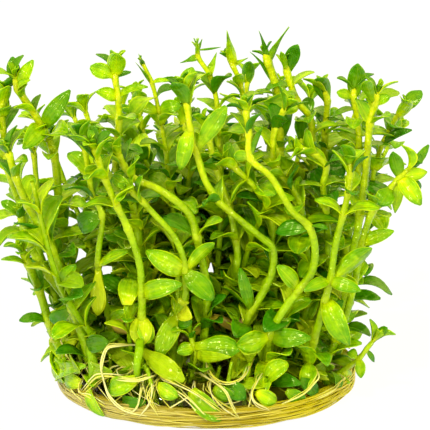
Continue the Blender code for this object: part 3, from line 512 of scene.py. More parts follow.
def mark_painted_light(mesh):
    """Store how squarely each point of a stem faces the light side, for the painted light that makes that
    side yellow.
    """
    point_attribute(mesh, "lit", [max(0.0, vert.normal.dot(PAINTED_LIGHT_SIDE)) for vert in mesh.vertices])


def point_attribute(mesh, name, values):
    """Store a number for each point of a mesh; one number stands for all."""
    attribute = mesh.attributes.new(name, "FLOAT", "POINT")
    if isinstance(values, float):
        values = [values] * len(mesh.vertices)
    attribute.data.foreach_set("value", values)


def finish_piece(piece, slot, *nodes):
    """Let a piece ride on the plant, in place of its solids."""
    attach(piece, BODY)
    if nodes:
        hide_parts(*nodes)


def ring_place(angle, reach, height):
    """The place at an angle round the middle of the puck, so far out and so high."""
    return Vector((math.cos(angle) * reach, math.sin(angle) * reach, height))


def noise_seed(chance):
    """A chance offset into the noise, so that no two roots wander alike."""
    return Vector((chance.uniform(0, 50), 0.0, 0.0))


def smooth_route(points, step):
    """Places and radii on a smooth curve through the given ones, about a step apart."""
    route = []
    for index in range(len(points) - 1):
        before = points[max(index - 1, 0)][0]
        start, end = points[index][0], points[index + 1][0]
        after = points[min(index + 2, len(points) - 1)][0]
        span = (end - start).length
        leave = (end - before).normalized() * span
        arrive = (after - start).normalized() * span
        count = max(1, round(span / step))
        for part in range(count):
            t = part / count
            place = (
                start * (2 * t ** 3 - 3 * t ** 2 + 1) + leave * (t ** 3 - 2 * t ** 2 + t)
                + end * (3 * t ** 2 - 2 * t ** 3) + arrive * (t ** 3 - t ** 2))
            radius = points[index][1] * (1 - t) + points[index + 1][1] * t
            route.append((place, radius))
    route.append((points[-1][0], points[-1][1]))
    return route


def tube_mesh(name, routes, resolution):
    """Round tubes along routes of (place, radius), pointed at both ends, as one mesh."""
    curve = bpy.data.curves.new(name, "CURVE")
    curve.dimensions = "3D"
    curve.bevel_depth = MM
    curve.bevel_resolution = resolution
    for route in routes:
        spline = curve.splines.new("POLY")
        spline.points.add(len(route) - 1)
        for point, (place, radius) in zip(spline.points, route):
            point.co = (*place, 1.0)
            point.radius = radius / MM
    select_only(new_object(curve))
    bpy.ops.object.convert(target="MESH")
    return bpy.context.view_layer.objects.active


class ShootForm:
    """One shoot as its solid's mesh gives it: the sections of its stem and its leaves."""

    def __init__(self, node):
        self.node = node
        bm = bmesh.new()
        bm.from_mesh(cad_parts[node].data)
        bmesh.ops.remove_doubles(bm, verts=bm.verts, dist=0.02 * MM)
        near = {vert: {edge.other_vert(vert) for edge in vert.link_edges} for vert in bm.verts}
        top = max(vert.co.z for vert in bm.verts)
        blades = []
        others = set()
        for tip in bm.verts:
            ring = near[tip]
            if len(ring) != 4 or any(len(near[vert] & ring) != 2 for vert in ring):
                continue
            lengths = sorted((a.co - b.co).length for a in ring for b in near[a] & ring)
            foot = set().union(*(near[vert] for vert in ring)) - ring - {tip}
            if lengths[-1] < SQUARE_ENOUGH * lengths[0] and tip.co.z > 0.9 * top:
                others.add(tip)
            elif len(foot) == 4:
                blades.append((tip, ring, foot))
                others |= ring | {tip}
        self.sections = self.stem_sections([vert for vert in bm.verts if vert not in others], near, others)
        self.points = self.stem_points()
        self.leaves = [self.leaf(tip, ring, foot, near) for tip, ring, foot in blades]
        bm.free()

    @staticmethod
    def stem_sections(stem, near, others):
        """Centre and corner reach of each section, from the foot up."""
        lowest = min(stem, key=lambda vert: vert.co.z)
        layer = set(sorted(stem, key=lambda vert: (vert.co - lowest.co).length)[:4])
        seen = set()
        sections = []
        while len(layer) == 4:
            centre = sum((vert.co for vert in layer), Vector()) / 4
            sections.append((centre, sum((vert.co - centre).length for vert in layer) / 4))
            seen |= layer
            layer = set().union(*(near[vert] for vert in layer)) - seen - others
        return sections

    def stem_points(self):
        """Centre line as (place, radius, whether it is a node), with a node's two sections as one."""
        points = []
        skip = False
        for index, (centre, reach) in enumerate(self.sections):
            if skip:
                skip = False
                continue
            following = self.sections[index + 1] if index + 1 < len(self.sections) else None
            if following and (following[0] - centre).length < NODE_SPAN:
                points.append(((centre + following[0]) / 2, reach / NODE_CORNER_REACH, True))
                skip = True
            else:
                points.append((centre, reach / CORNER_REACH, False))
        return points

    def way_at(self, place):
        """Index of the point of the centre line nearest to a place, and the direction there."""
        index = min(range(len(self.points)), key=lambda k: (self.points[k][0] - place).length)
        before = self.points[max(index - 1, 0)][0]
        after = self.points[min(index + 1, len(self.points) - 1)][0]
        return index, (after - before).normalized()

    def leaf(self, tip, ring, foot, near):
        """A leaf of the solid, as a plan for its blade."""
        start = sum((vert.co for vert in foot), Vector()) / 4
        index, way = self.way_at(start)
        across = max((a.co - b.co for a in ring for b in near[a] & ring), key=lambda way: way.length)
        return LeafPlan(self.points[index][0].lerp(start, 0.35), tip.co.copy(), across.length, across, way)


def shoot_forms():
    """Every shoot of the solids, in order."""
    return [ShootForm(node) for node in sorted(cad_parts) if node.startswith("shoot")]


class LeafPlan:
    """Where one blade goes: foot, tip, width, the direction across it, and which side is the upper."""

    def __init__(self, foot, tip, width, across, stem_way, kind="broad", age=0.0):
        self.foot = foot
        self.tip = tip
        self.width = width
        self.way = (tip - foot).normalized()
        self.across = (across - self.way * across.dot(self.way)).normalized()
        self.upper = self.way.cross(self.across)
        if self.upper.dot(stem_way) < 0:
            self.across = -self.across
            self.upper = -self.upper
        self.kind = kind
        self.age = age
        self.curl = 0.0
        self.loose = False

    def length(self):
        """The length from foot to tip."""
        return (self.tip - self.foot).length


def blade_template(kind):
    """A flat blade of unit length and width along +X, thick in the middle and thin at its edge."""
    blade = added(
        bpy.ops.mesh.primitive_grid_add, "blade_" + kind, x_subdivisions=BLADE_COLUMNS,
        y_subdivisions=BLADE_ROWS, size=1.0, location=(0.5, 0.0, 0.0))
    bpy.ops.object.transform_apply(location=True, rotation=False, scale=False)
    bpy.ops.object.mode_set(mode="EDIT")
    bm = bmesh.from_edit_mesh(blade.data)
    for column, half_width in enumerate(OUTLINES[kind]):
        bpy.ops.mesh.select_all(action="DESELECT")
        for vert in bm.verts:
            vert.select = abs(vert.co.x - column / BLADE_COLUMNS) < 0.01
        bm.select_flush(True)
        bpy.ops.transform.resize(
            value=(1.0, half_width, 1.0), center_override=(column / BLADE_COLUMNS, 0.0, 0.0))
    bpy.ops.object.mode_set(mode="OBJECT")
    group = blade.vertex_groups.new(name="thick")
    for vert in blade.data.vertices:
        half_width = OUTLINES[kind][round(vert.co.x * BLADE_COLUMNS)] / 2
        group.add([vert.index], 1.0 - 0.72 * min(1.0, abs(vert.co.y) / half_width) ** 2, "REPLACE")
    solidify = blade.modifiers.new("thickness", "SOLIDIFY")
    solidify.thickness = 1.0
    solidify.offset = 0.0
    solidify.vertex_group = "thick"
    solidify.thickness_vertex_group = 0.1
    apply_modifiers(blade)
    bpy.ops.object.shade_smooth()
    blade.vertex_groups.clear()
    mesh = blade.data
    bpy.data.objects.remove(blade)
    return mesh


def skinned_blades(skin):
    """A blade of each kind with this material."""
    blades = {kind: blade_template(kind) for kind in OUTLINES}
    for blade in blades.values():
        blade.materials.clear()
        blade.materials.append(skin)
    return blades


def keep_in_box(mesh, along, loose):
    """Draw a blade's outer part, or a loose blade as a whole, back into the box that the solids fill."""
    low, high = CAD_BOX
    for _ in range(4):
        moved = False
        for axis in range(3):
            values = [vert.co[axis] for vert in mesh.vertices]
            excess = max(max(values) - high[axis] + BOX_MARGIN, 0.0)
            excess = excess or min(min(values) - low[axis] - BOX_MARGIN, 0.0)
            if excess:
                moved = True
                for vert, share in zip(mesh.vertices, along):
                    vert.co[axis] -= excess * (1.0 if loose else min(1.0, 1.3 * share * share))
        if not moved:
            return


def grown_leaf(plan, blades, settings, chance):
    """One leaf: the blade of its kind bent along its spine, cupped, and laid in its place."""
    mesh = blades[plan.kind].copy()
    length = plan.length()
    arch = settings.arch * chance.uniform(0.5, 1.6) * (1.0 - 0.5 * min(1.0, abs(plan.curl)))
    cup = settings.cup * chance.uniform(0.5, 1.7)
    wave = chance.uniform(-0.09, 0.09)
    phase = chance.uniform(0.0, 6.0)
    lean = chance.uniform(-0.07, 0.07)
    twist = chance.uniform(-0.7, 0.7)
    middle = plan.foot.lerp(plan.tip, 0.45) + plan.upper * arch * 2 * length + plan.across * lean * length
    places = [vert.co.copy() for vert in mesh.vertices]
    for vert, (along, side, lift) in zip(mesh.vertices, places):
        spine = (
            plan.foot * (1 - along) ** 2 + middle * 2 * along * (1 - along) + plan.tip * along ** 2)
        way = ((middle - plan.foot) * (1 - along) + (plan.tip - middle) * along).normalized()
        across = (plan.across - way * plan.across.dot(way)).normalized()
        upper = way.cross(across)
        turn = twist * (along - 0.25)
        cos, sin = math.cos(turn), math.sin(turn)
        across, upper = across * cos + upper * sin, upper * cos - across * sin
        rise = cup * 4 * side * side * plan.width
        rise += wave * plan.width * abs(side) * math.sin(7 * along + phase)
        rise += plan.curl * plan.width * abs(side) ** 1.5
        vert.co = spine + across * side * plan.width + upper * (rise + lift * settings.thickness)
    keep_in_box(mesh, [place.x for place in places], plan.loose)
    point_attribute(mesh, "tone", chance.random())
    point_attribute(mesh, "age", plan.age)
    return new_object(mesh)


def stem_piece(form, settings, material):
    """The round stem of a shoot, swollen at its nodes and pointed at both ends."""
    route = smooth_route(form.points, settings.step)
    nodes = [place for place, _, is_node in form.points if is_node]
    shaped = []
    closeness = []
    for place, radius in route:
        nearest = min([(place - node).length for node in nodes] or [1.0])
        near_node = max(0.0, 1.0 - nearest / (1.3 * MM))
        wobble = 1.0 + 0.05 * noise.noise(place * 160)
        growth = wobble * STEM_GROWTH.get(form.node, 1.0)
        shaped.append((place, radius * growth * (1.0 + (settings.swell - 1.0) * near_node)))
        closeness.append(max(0.0, 1.0 - nearest / (3.0 * MM)))
    foot_way = (shaped[1][0] - shaped[0][0]).normalized()
    top_way = (shaped[-1][0] - shaped[-2][0]).normalized()
    shaped = [(shaped[0][0] - foot_way * 0.2 * MM, POINT)] + shaped
    shaped.append((shaped[-1][0] + top_way * 0.7 * MM, shaped[-1][1] * 0.6))
    shaped.append((shaped[-1][0] + top_way * 0.5 * MM, POINT))
    closeness = [0.0] + closeness + [0.0, 0.0]
    stem = tube_mesh(form.node + "_stem", [shaped], 4)
    sides = len(stem.data.vertices) // len(shaped)
    if sides * len(shaped) != len(stem.data.vertices):
        raise RuntimeError("a stem's rings can't be told apart")
    point_attribute(stem.data, "node", [closeness[k // sides] for k in range(len(stem.data.vertices))])
    mark_painted_light(stem.data)
    stem.data.shade_smooth()
    stem.data.materials.append(material)
    return stem


def leaf_round(place, way, angle, reach, rise, length, widths, kinds, chance):
    """A leaf that leaves a stem's middle line at an angle round it and rises to its tip."""
    side = way.orthogonal().normalized()
    out = side * math.cos(angle) + way.cross(side) * math.sin(angle)
    foot = place + out * reach
    tip = foot + (out * math.cos(rise) + way * math.sin(rise)) * length
    width = length * chance.uniform(*widths)
    return LeafPlan(foot, tip, width, way.cross(out), way, chance.choice(kinds))


def young_leaves(form, chance):
    """The small leaves that close the tip of a shoot."""
    plans = []
    top, radius, _ = form.points[-1]
    way = (top - form.points[-2][0]).normalized()
    turn = chance.uniform(0.0, math.pi)
    size = SMALL_SIZE if form.node in SMALL_TIPS + THIN_TIPS else 1.0
    for count, (length, rise) in enumerate(((5.0, 40), (4.4, 46), (3.0, 64), (2.6, 66), (1.6, 80))):
        angle = turn + count * math.pi + (count // 2) * math.pi / 2
        rise = math.radians(rise + chance.uniform(-16, 16))
        length = length * MM * chance.uniform(0.7, 1.25) * size
        place = top + way * (0.4 * count) * MM
        plan = leaf_round(
            place, way, angle, radius * 0.2, rise, length, (0.46, 0.6), ("oval", "spoon"), chance)
        plan.curl = 0.12
        if form.node in THIN_TIPS:
            plan.kind = "tapered"
            plan.width *= THIN_WIDTH
        plans.append(plan)
    return plans


class StemMap:
    """Where every stem runs, so that leaves can keep clear of the stems of other shoots."""

    def __init__(self, forms):
        places = [(place, form.node) for form in forms for place, _ in smooth_route(form.points, MM)]
        self.nodes = [node for _, node in places]
        self.tree = kdtree.KDTree(len(places))
        for index, (place, _) in enumerate(places):
            self.tree.insert(place, index)
        self.tree.balance()

    def is_near(self, place, reach, own=None):
        """Whether a stem other than the own one passes within reach of a place."""
        return any(self.nodes[index] != own for _, index, _ in self.tree.find_range(place, reach))

    def meets(self, plan, own=None):
        """Whether a leaf would run into a stem of another shoot."""
        return any(
            self.is_near(plan.foot.lerp(plan.tip, share), LEAF_CLEARANCE, own) for share in (0.35, 0.7, 1.0))


def filling_leaves(form, stems, chance):
    """Leaf pairs along a stem between those that the solids have, where its bare stem doesn't show."""
    plans = []
    top = BARE_STEMS.get(form.node, 100) * MM
    route = smooth_route(form.points, FILL_STEP)
    feet = [plan.foot for plan in form.leaves]
    turn = chance.uniform(0.0, math.pi)
    for index in range(1, len(route) - 1):
        place, radius = route[index]
        if place.z < 4 * MM or place.z > top or min((place - foot).length for foot in feet) < 1.8 * MM:
            continue
        way = (route[index + 1][0] - route[index - 1][0]).normalized()
        turn += math.pi / 2 + chance.uniform(-0.3, 0.3)
        for partner in range(2):
            angle = turn + partner * math.pi + chance.uniform(-0.25, 0.25)
            rise = math.radians(chance.uniform(-12, 55))
            lengths = SHORT_LEAF if picture_place(place)[1] < FULL_ROW else LONG_LEAF
            length = chance.uniform(*lengths) * MM
            plan = leaf_round(
                place, way, angle, radius * 0.3, rise, length, (0.48, 0.66), GROWN_KINDS, chance)
            plan.age = max(0.0, chance.uniform(-0.6, 0.5)) if place.z < 24 * MM else 0.0
            plans.append(plan)
    return [
        plan for plan in plans
        if inside_solids(plan) and not in_white(plan) and not stems.meets(plan, form.node)]


def in_white(plan):
    """Whether a leaf would cover a place that is white in the picture."""
    for share in (0.35, 0.7, 1.0):
        column, row = picture_place(plan.foot.lerp(plan.tip, share))
        if any(left < column < right and top < row < bottom for left, top, right, bottom in HOLES):
            return True
        for (left, high), (right, low) in zip(OUTLINE_TOP, OUTLINE_TOP[1:]):
            if left <= column < right and row < high + (low - high) * (column - left) / (right - left):
                return True
    return False


def in_clear_front(plan):
    """Whether a leaf would hide the low front of the picture."""
    left, top, right, bottom = CLEAR_FRONT
    column, row = picture_place(plan.foot.lerp(plan.tip, 0.6))
    return left < column < right and top < row < bottom and plan.foot.y < CLEAR_DEPTH


def low_leaves(form):
    """The leaves in the picture that grow from this shoot and that the solids leave out."""
    plans = []
    for node, foot, tip, forward, width, kind, age in LOW_LEAVES:
        if node == form.node:
            start = stem_at(form, *foot)
            end = seen_at(*tip, start.y + (wall_depth(tip[0], MM) - start.y) * forward)
            plans.append(LeafPlan(start, end, width * MM, FORWARD.cross(end - start), -FORWARD, kind, age))
    return plans


def stem_at(form, column, row):
    """The point of a stem that is seen nearest to a place in the picture."""
    places = [place for place, _ in smooth_route(form.points, FILL_STEP / 8)]
    return min(places, key=lambda place: math.dist(picture_place(place), (column, row)))


def puck_radius():
    """Outer radius of the puck."""
    low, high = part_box("root_mat")
    return (high.x - low.x) / 2


def wall_depth(column, inset):
    """Depth of the puck's front wall, less an inset, at a column of the picture."""
    reach = puck_radius() - inset
    x = seen_at(column, PICTURE_MIDDLE, -reach).x
    return -math.sqrt(max(0.0, reach ** 2 - x ** 2))


def on_wall(column, row, inset):
    """The point seen at a place in the picture on a wall inset from the puck's front."""
    ray = picture_ray(column, row)
    reach = puck_radius() - inset
    a = ray.x ** 2 + ray.y ** 2
    b = EYE.x * ray.x + EYE.y * ray.y
    c = EYE.x ** 2 + EYE.y ** 2 - reach ** 2
    root = math.sqrt(max(0.0, b * b - a * c))
    return EYE + ray * ((-b - root) / a)


def inside_solids(plan):
    """Whether a leaf that the solids don't have stays in the box that they fill."""
    low, high = CAD_BOX
    points = (plan.tip, plan.foot.lerp(plan.tip, 0.5) + plan.upper * 0.15 * plan.length())
    return all(
        low[axis] + LEAF_MARGIN < point[axis] < high[axis] - LEAF_MARGIN
        for axis in range(3) for point in points)


class Skin:
    """A material with its uniform values on the shader itself, and a maker of the nodes that feed it."""

    def __init__(self, name, roughness, subsurface=0.0, transmission=0.0, ior=1.45, shine=None):
        self.material = bpy.data.materials.new(name)
        self.material.use_nodes = True
        self.tree = self.material.node_tree
        self.shader = self.tree.nodes["Principled BSDF"]
        values = {
            "Roughness": roughness, "Subsurface Weight": subsurface, "Subsurface Radius": (0.7, 1.0, 0.15),
            "Subsurface Scale": MM, "Transmission Weight": transmission, "IOR": ior,
        }
        if shine:
            values.update({"Specular IOR Level": 0.6, "Specular Tint": (1.0, 1.0, shine, 1.0)})
        for socket, value in values.items():
            self.shader.inputs[socket].default_value = value

    def make(self, kind, **values):
        """A new node with these values of its own."""
        node = self.tree.nodes.new(kind)
        for name, value in values.items():
            setattr(node, name, value)
        return node

    def feed(self, value, socket):
        """Give a socket a node's output, a number or a colour."""
        if isinstance(value, bpy.types.NodeSocket):
            self.tree.links.new(value, socket)
        elif isinstance(value, float):
            socket.default_value = value
        else:
            socket.default_value = (*value, 1.0)

    def ramp(self, source, start, end, low=0.0, high=1.0):
        """A smooth ramp of a value from start to end."""
        ramp = self.make("ShaderNodeMapRange", interpolation_type="SMOOTHSTEP")
        names = ("Value", "From Min", "From Max", "To Min", "To Max")
        for name, value in zip(names, (source, start, end, low, high)):
            self.feed(value, ramp.inputs[name])
        return ramp.outputs["Result"]

    def mix(self, factor, first, second):
        """A mix of two colours."""
        mix = self.make("ShaderNodeMix", data_type="RGBA")
        for number, value in ((0, factor), (6, first), (7, second)):
            self.feed(value, mix.inputs[number])
        return mix.outputs[2]

    def maths(self, operation, *values):
        """One step of arithmetic."""
        node = self.make("ShaderNodeMath", operation=operation)
        for value, socket in zip(values, node.inputs):
            self.feed(value, socket)
        return node.outputs[0]

    def scaled(self, value, share, start=0.0):
        """A value times a share, on top of a start."""
        return self.maths("MULTIPLY_ADD", value, share, start)

    def place(self):
        """Where a point lies on the object."""
        return self.make("ShaderNodeTexCoord").outputs["Object"]

    def blade_place(self):
        """Where a point lies on the mesh's own map."""
        return self.make("ShaderNodeUVMap").outputs["UV"]

    def axis(self, place, name):
        """One axis of a place."""
        parts = self.make("ShaderNodeSeparateXYZ")
        self.feed(place, parts.inputs[0])
        return parts.outputs[name]

    def noise(self, scale, stretch=(1.0, 1.0, 1.0), detail=3.0, place=None):
        """Noise on the object, or at the places given; scale is per metre."""
        mapping = self.make("ShaderNodeMapping")
        mapping.inputs["Scale"].default_value = stretch
        self.feed(place or self.place(), mapping.inputs["Vector"])
        texture = self.make("ShaderNodeTexNoise")
        for value, name in ((scale, "Scale"), (detail, "Detail"), (mapping.outputs["Vector"], "Vector")):
            self.feed(value, texture.inputs[name])
        return texture.outputs["Fac"]

    def attribute(self, name):
        """A number that each point of the mesh carries."""
        return self.make("ShaderNodeAttribute", attribute_name=name).outputs["Fac"]

    def paint(self, colour, shade=None, hue=0.5):
        """Give the shader its colour, made lighter or darker by a shade and turned by a hue."""
        if shade:
            bright = self.make("ShaderNodeHueSaturation")
            for value, name in ((colour, "Color"), (shade, "Value"), (hue, "Hue")):
                self.feed(value, bright.inputs[name])
            colour = bright.outputs["Color"]
        self.feed(colour, self.shader.inputs["Base Color"])

    def bump(self, height, strength, distance):
        """Give the shader a relief."""
        bump = self.make("ShaderNodeBump")
        for value, name in ((height, "Height"), (strength, "Strength"), (distance, "Distance")):
            self.feed(value, bump.inputs[name])
        self.feed(bump.outputs["Normal"], self.shader.inputs["Normal"])


def leaf_material(settings):
    """Fresh leaf: pale at its foot, midrib and edge, darker to its tip, with faint veins."""
    skin = Skin("fresh wet leaf", 0.2, subsurface=0.3, shine=0.35)
    place = skin.blade_place()
    along = skin.axis(place, "X")
    off_middle = skin.maths("SUBTRACT", skin.axis(place, "Y"), 0.5)
    side = skin.maths("MULTIPLY", skin.maths("ABSOLUTE", off_middle), 2.0)
    tone = skin.attribute("tone")
    wave = skin.maths("SINE", skin.maths("ADD", skin.maths("MULTIPLY", side, 19.0), along))
    pale = settings.foot_colour
    colour = pale
    # From the blade's middle to its tip, its heart, edge, rim, midrib, veins, patches, deep green and age.
    for share, layer in (
            (skin.ramp(along, 0.0, 0.42), settings.blade_colour),
            (skin.ramp(along, 0.55, 1.0), settings.tip_colour),
            (skin.maths("MULTIPLY", skin.ramp(side, 0.75, 0.0, 0.0, 0.26), tone), pale),
            (skin.ramp(side, 0.40, 0.80, 0.0, 0.20), settings.dark_colour),
            (skin.ramp(side, 0.84, 1.0, 0.0, 0.55), pale),
            (skin.ramp(side, 0.10, 0.0, 0.0, 0.26), pale),
            (skin.ramp(wave, 0.1, 1.0, 0.0, 0.10), pale),
            (skin.ramp(skin.noise(420.0, detail=5.0), 0.46, 0.72, 0.0, 0.42), settings.dark_colour),
            (skin.ramp(skin.noise(600.0, (1.0, 1.0, 1.3), 4.0), 0.5, 0.76, 0.0, 0.34), pale),
            (skin.ramp(tone, 0.50, 0.0, 0.0, 0.85), settings.dark_colour),
            (skin.attribute("age"), settings.old_colour)):
        colour = skin.mix(share, colour, layer)
    shade = skin.maths("ADD", skin.scaled(tone, 0.55, 0.62), skin.scaled(skin.noise(260.0), 0.35))
    skin.paint(colour, shade, skin.scaled(tone, -0.03, 0.515))
    grain = skin.scaled(skin.noise(700.0, detail=0.0), 6.0)
    skin.bump(skin.maths("ADD", skin.scaled(wave, 0.3), grain), 0.42, 0.2 * MM)
    return skin.material


def stem_material(settings, low_colour):
    """Juicy stem: yellow-green, paler at the nodes, greener low down, with faint streaks; painted light makes
    the side that faces the light side yellow, and painted shade turns the side away from it deep green.
    """
    skin = Skin("juicy stem", 0.17, subsurface=0.3, shine=0.4)
    streak = skin.noise(900.0)
    height = skin.axis(skin.place(), "Z")
    lit = skin.maths("ADD", skin.attribute("lit"), skin.scaled(streak, 0.5))
    colour = settings.young_colour
    for share, layer in (
            (skin.ramp(height, 0.066, 0.034), low_colour),
            # Painted shade: the side of a stem that faces away from the light side is painted in the deep
            # colour.
            (skin.ramp(lit, 1.12, 0.45, 0.0, 0.85), settings.deep_and_shade_colour),
            (skin.scaled(skin.attribute("node"), 0.55), settings.node_colour)):
        colour = skin.mix(share, colour, layer)
    skin.paint(colour, skin.maths("ADD", skin.scaled(streak, 0.5, 0.42), skin.scaled(skin.noise(90.0), 0.6)))
    dents = skin.scaled(skin.noise(420.0, detail=0.0), 4.0)
    skin.bump(skin.maths("ADD", dents, skin.noise(1900.0, detail=0.0)), 1.0, 0.18 * MM)
    return skin.material


def root_material(name, first, second, roughness, left=None, right=None):
    """Roots: two colours that change from root to root and along it, and one more at each side."""
    skin = Skin(name, roughness, subsurface=0.35, shine=0.5)
    share = skin.maths("ADD", skin.scaled(skin.noise(220.0), 0.6), skin.attribute("tone"))
    colour = skin.mix(skin.ramp(share, 0.45, 1.25), first, second)
    if left:
        across = skin.axis(skin.place(), "X")
        colour = skin.mix(skin.ramp(across, 0.0, -0.026, 0.0, 0.75), colour, left)
        colour = skin.mix(skin.ramp(across, 0.004, 0.024, 0.0, 0.7), colour, right)
    skin.paint(colour)
    return skin.material


def band_material(settings):
    """Matted roots: streaks that run round the band."""
    skin = Skin("root mat", 0.35, subsurface=0.3, shine=0.5)
    streak = skin.noise(1.0, (14.0, 30.0, 1.0), 4.0, skin.blade_place())
    skin.paint(skin.mix(skin.ramp(streak, 0.35, 0.7), settings.band_colour, settings.band_pale))
    return skin.material


def gel_material(settings):
    """Clear gel with a faint yellow cast."""
    skin = Skin("clear gel", 0.02, transmission=1.0, ior=1.33)
    skin.shader.inputs["Base Color"].default_value = (1.0, 1.0, 1.0, 1.0)
    absorption = skin.make("ShaderNodeVolumeAbsorption")
    skin.feed(settings.absorption_colour, absorption.inputs["Color"])
    skin.feed(settings.density, absorption.inputs["Density"])
    skin.feed(absorption.outputs["Volume"], skin.tree.nodes["Material Output"].inputs["Volume"])
    skin.bump(skin.noise(240.0), 0.3, 0.3 * MM)
    return skin.material


class BACOPA_OT_studio(bpy.types.Operator):
    """Set up the camera at the photograph's view, the pale floor and the soft lights"""

    bl_idname = "bacopa.studio"
    bl_label = "Camera, Floor and Lights"

    def execute(self, context):
        settings = context.scene.bacopa_stage
        camera = new_object(bpy.data.cameras.new("camera"))
        camera.location = EYE
        camera.rotation_euler = (math.pi / 2 - VIEW_ELEVATION, 0.0, 0.0)
        camera.data.sensor_width = SENSOR_WIDTH
        camera.data.lens = SENSOR_WIDTH * FOCAL_PIXELS / PICTURE_SIZE
        camera.data.clip_start = 0.01
        context.scene.camera = camera
        floor = added(bpy.ops.mesh.primitive_plane_add, "floor", size=8.0, location=(0.0, 0.0, 0.0))
        paint = Skin("white floor", 0.7)
        for socket, value in (
                ("Base Color", (0.07, 0.07, 0.07, 1.0)), ("Specular IOR Level", 0.0),
                ("Emission Color", (1.0, 1.0, 1.0, 1.0)), ("Emission Strength", settings.floor_glow)):
            paint.shader.inputs[socket].default_value = value
        floor.data.materials.append(paint.material)
        for name, strength, place in (
                ("key_light", settings.sun_strength, (-0.28, -0.60, 0.85)),
                ("front_light", settings.front_strength, (-0.55, -0.85, 0.14)),
                ("right_light", settings.right_strength, (0.72, -0.68, 0.30))):
            sun = bpy.data.lights.new(name, "SUN")
            sun.energy = strength
            sun.angle = settings.sun_angle
            lamp = new_object(sun)
            lamp.location = place
            lamp.rotation_euler = (VIEW_TARGET - lamp.location).to_track_quat("-Z", "Y").to_euler()
        world = bpy.data.worlds.new("surround")
        world.use_nodes = True
        surround = world.node_tree.nodes["Background"]
        surround.inputs["Color"].default_value = (*settings.surround_colour, 1.0)
        surround.inputs["Strength"].default_value = settings.surround
        context.scene.world = world
        context.scene.view_settings.view_transform = "Standard"
        return {"FINISHED"}


class BACOPA_OT_shoots(bpy.types.Operator):
    """Grow every shoot: its round stem and its leaves"""

    bl_idname = "bacopa.shoots"
    bl_label = "Shoots"

    def execute(self, context):
        leaf_settings = context.scene.bacopa_leaf
        stem_settings = context.scene.bacopa_stem
        blades = skinned_blades(leaf_material(leaf_settings))
        stem_skin = stem_material(stem_settings, stem_settings.low_colour)
        forms = shoot_forms()
        stems = StemMap(forms)
        for form in forms:
            node = form.node
            chance = random.Random(node)
            stem = stem_piece(form, stem_settings, stem_skin)
            plans = form.leaves
            longest = max(plans, key=LeafPlan.length)
            for plan in plans:
                plan.kind = chance.choice(("broad", "oval", "broad", "spoon"))
                plan.width *= LEAF_GROWTH
                if node in TAPERED_SHOOTS and picture_place(plan.tip)[1] < TAPERED_ROW:
                    plan.kind = "tapered"
                    plan.width *= TAPERED_WIDTH
                if node == STALKED_LEAF and plan is longest:
                    plan.kind = "spoon"
                    plan.width *= STALKED_WIDTH
            plans = plans + [plan for plan in young_leaves(form, chance) if inside_solids(plan)]
            plans = plans + filling_leaves(form, stems, chance) + low_leaves(form)
            parts = [grown_leaf(plan, blades, leaf_settings, chance) for plan in plans]
            number = node.split("_")[1]
            finish_piece(joined([stem] + parts, "sprig_" + number), "leaf_green", node)
        return {"FINISHED"}


class BACOPA_OT_gel(bpy.types.Operator):
    """Make the clear gel disc with its sloping top"""

    bl_idname = "bacopa.gel"
    bl_label = "Gel"

    def execute(self, context):
        settings = context.scene.bacopa_gel
        radius = puck_radius() - settings.inset
        rounding = 0.9 * MM
        gel = added(
            bpy.ops.mesh.primitive_cylinder_add, "clear_gel", vertices=96, radius=radius, depth=1.0,
            end_fill_type="NGON", location=(0.0, 0.0, 0.0))
        bpy.ops.object.mode_set(mode="EDIT")
        bm = bmesh.from_edit_mesh(gel.data)
        for side in (1, -1):
            bpy.ops.mesh.select_all(action="DESELECT")
            for face in bm.faces:
                face.select = len(face.verts) > 4 and face.calc_center_median().z * side > 0
            bm.select_flush(True)
            bpy.ops.mesh.inset(thickness=0.8 * MM, depth=0.0)
            for _ in range(6):
                bpy.ops.mesh.inset(thickness=radius / 8, depth=0.0)
            bpy.ops.mesh.poke()
        bpy.ops.object.mode_set(mode="OBJECT")
        for vert in gel.data.vertices:
            reach = math.hypot(vert.co.x, vert.co.y)
            outer = max(0.0, reach - (radius - rounding)) / rounding
            if vert.co.z > 0:
                top = settings.height - settings.slope * vert.co.x
                ripple = 0.5 * MM * noise.noise(vert.co * 90) * min(1.0, top / (5 * MM))
                vert.co.z = top + ripple - 0.5 * MM * outer ** 2 - 0.2 * MM
            else:
                vert.co.z = MM + 0.7 * MM * outer ** 2
                vert.co.x *= 1.0 - 0.03 * outer
                vert.co.y *= 1.0 - 0.03 * outer
            wobble = 1.0 - 0.006 * (1.0 + noise.noise(vert.co * 60))
            vert.co.x *= wobble
            vert.co.y *= wobble
        gel.data.materials.append(gel_material(settings))
        gel.data.shade_smooth()
        finish_piece(gel, "clear_gel", "gel")
        return {"FINISHED"}


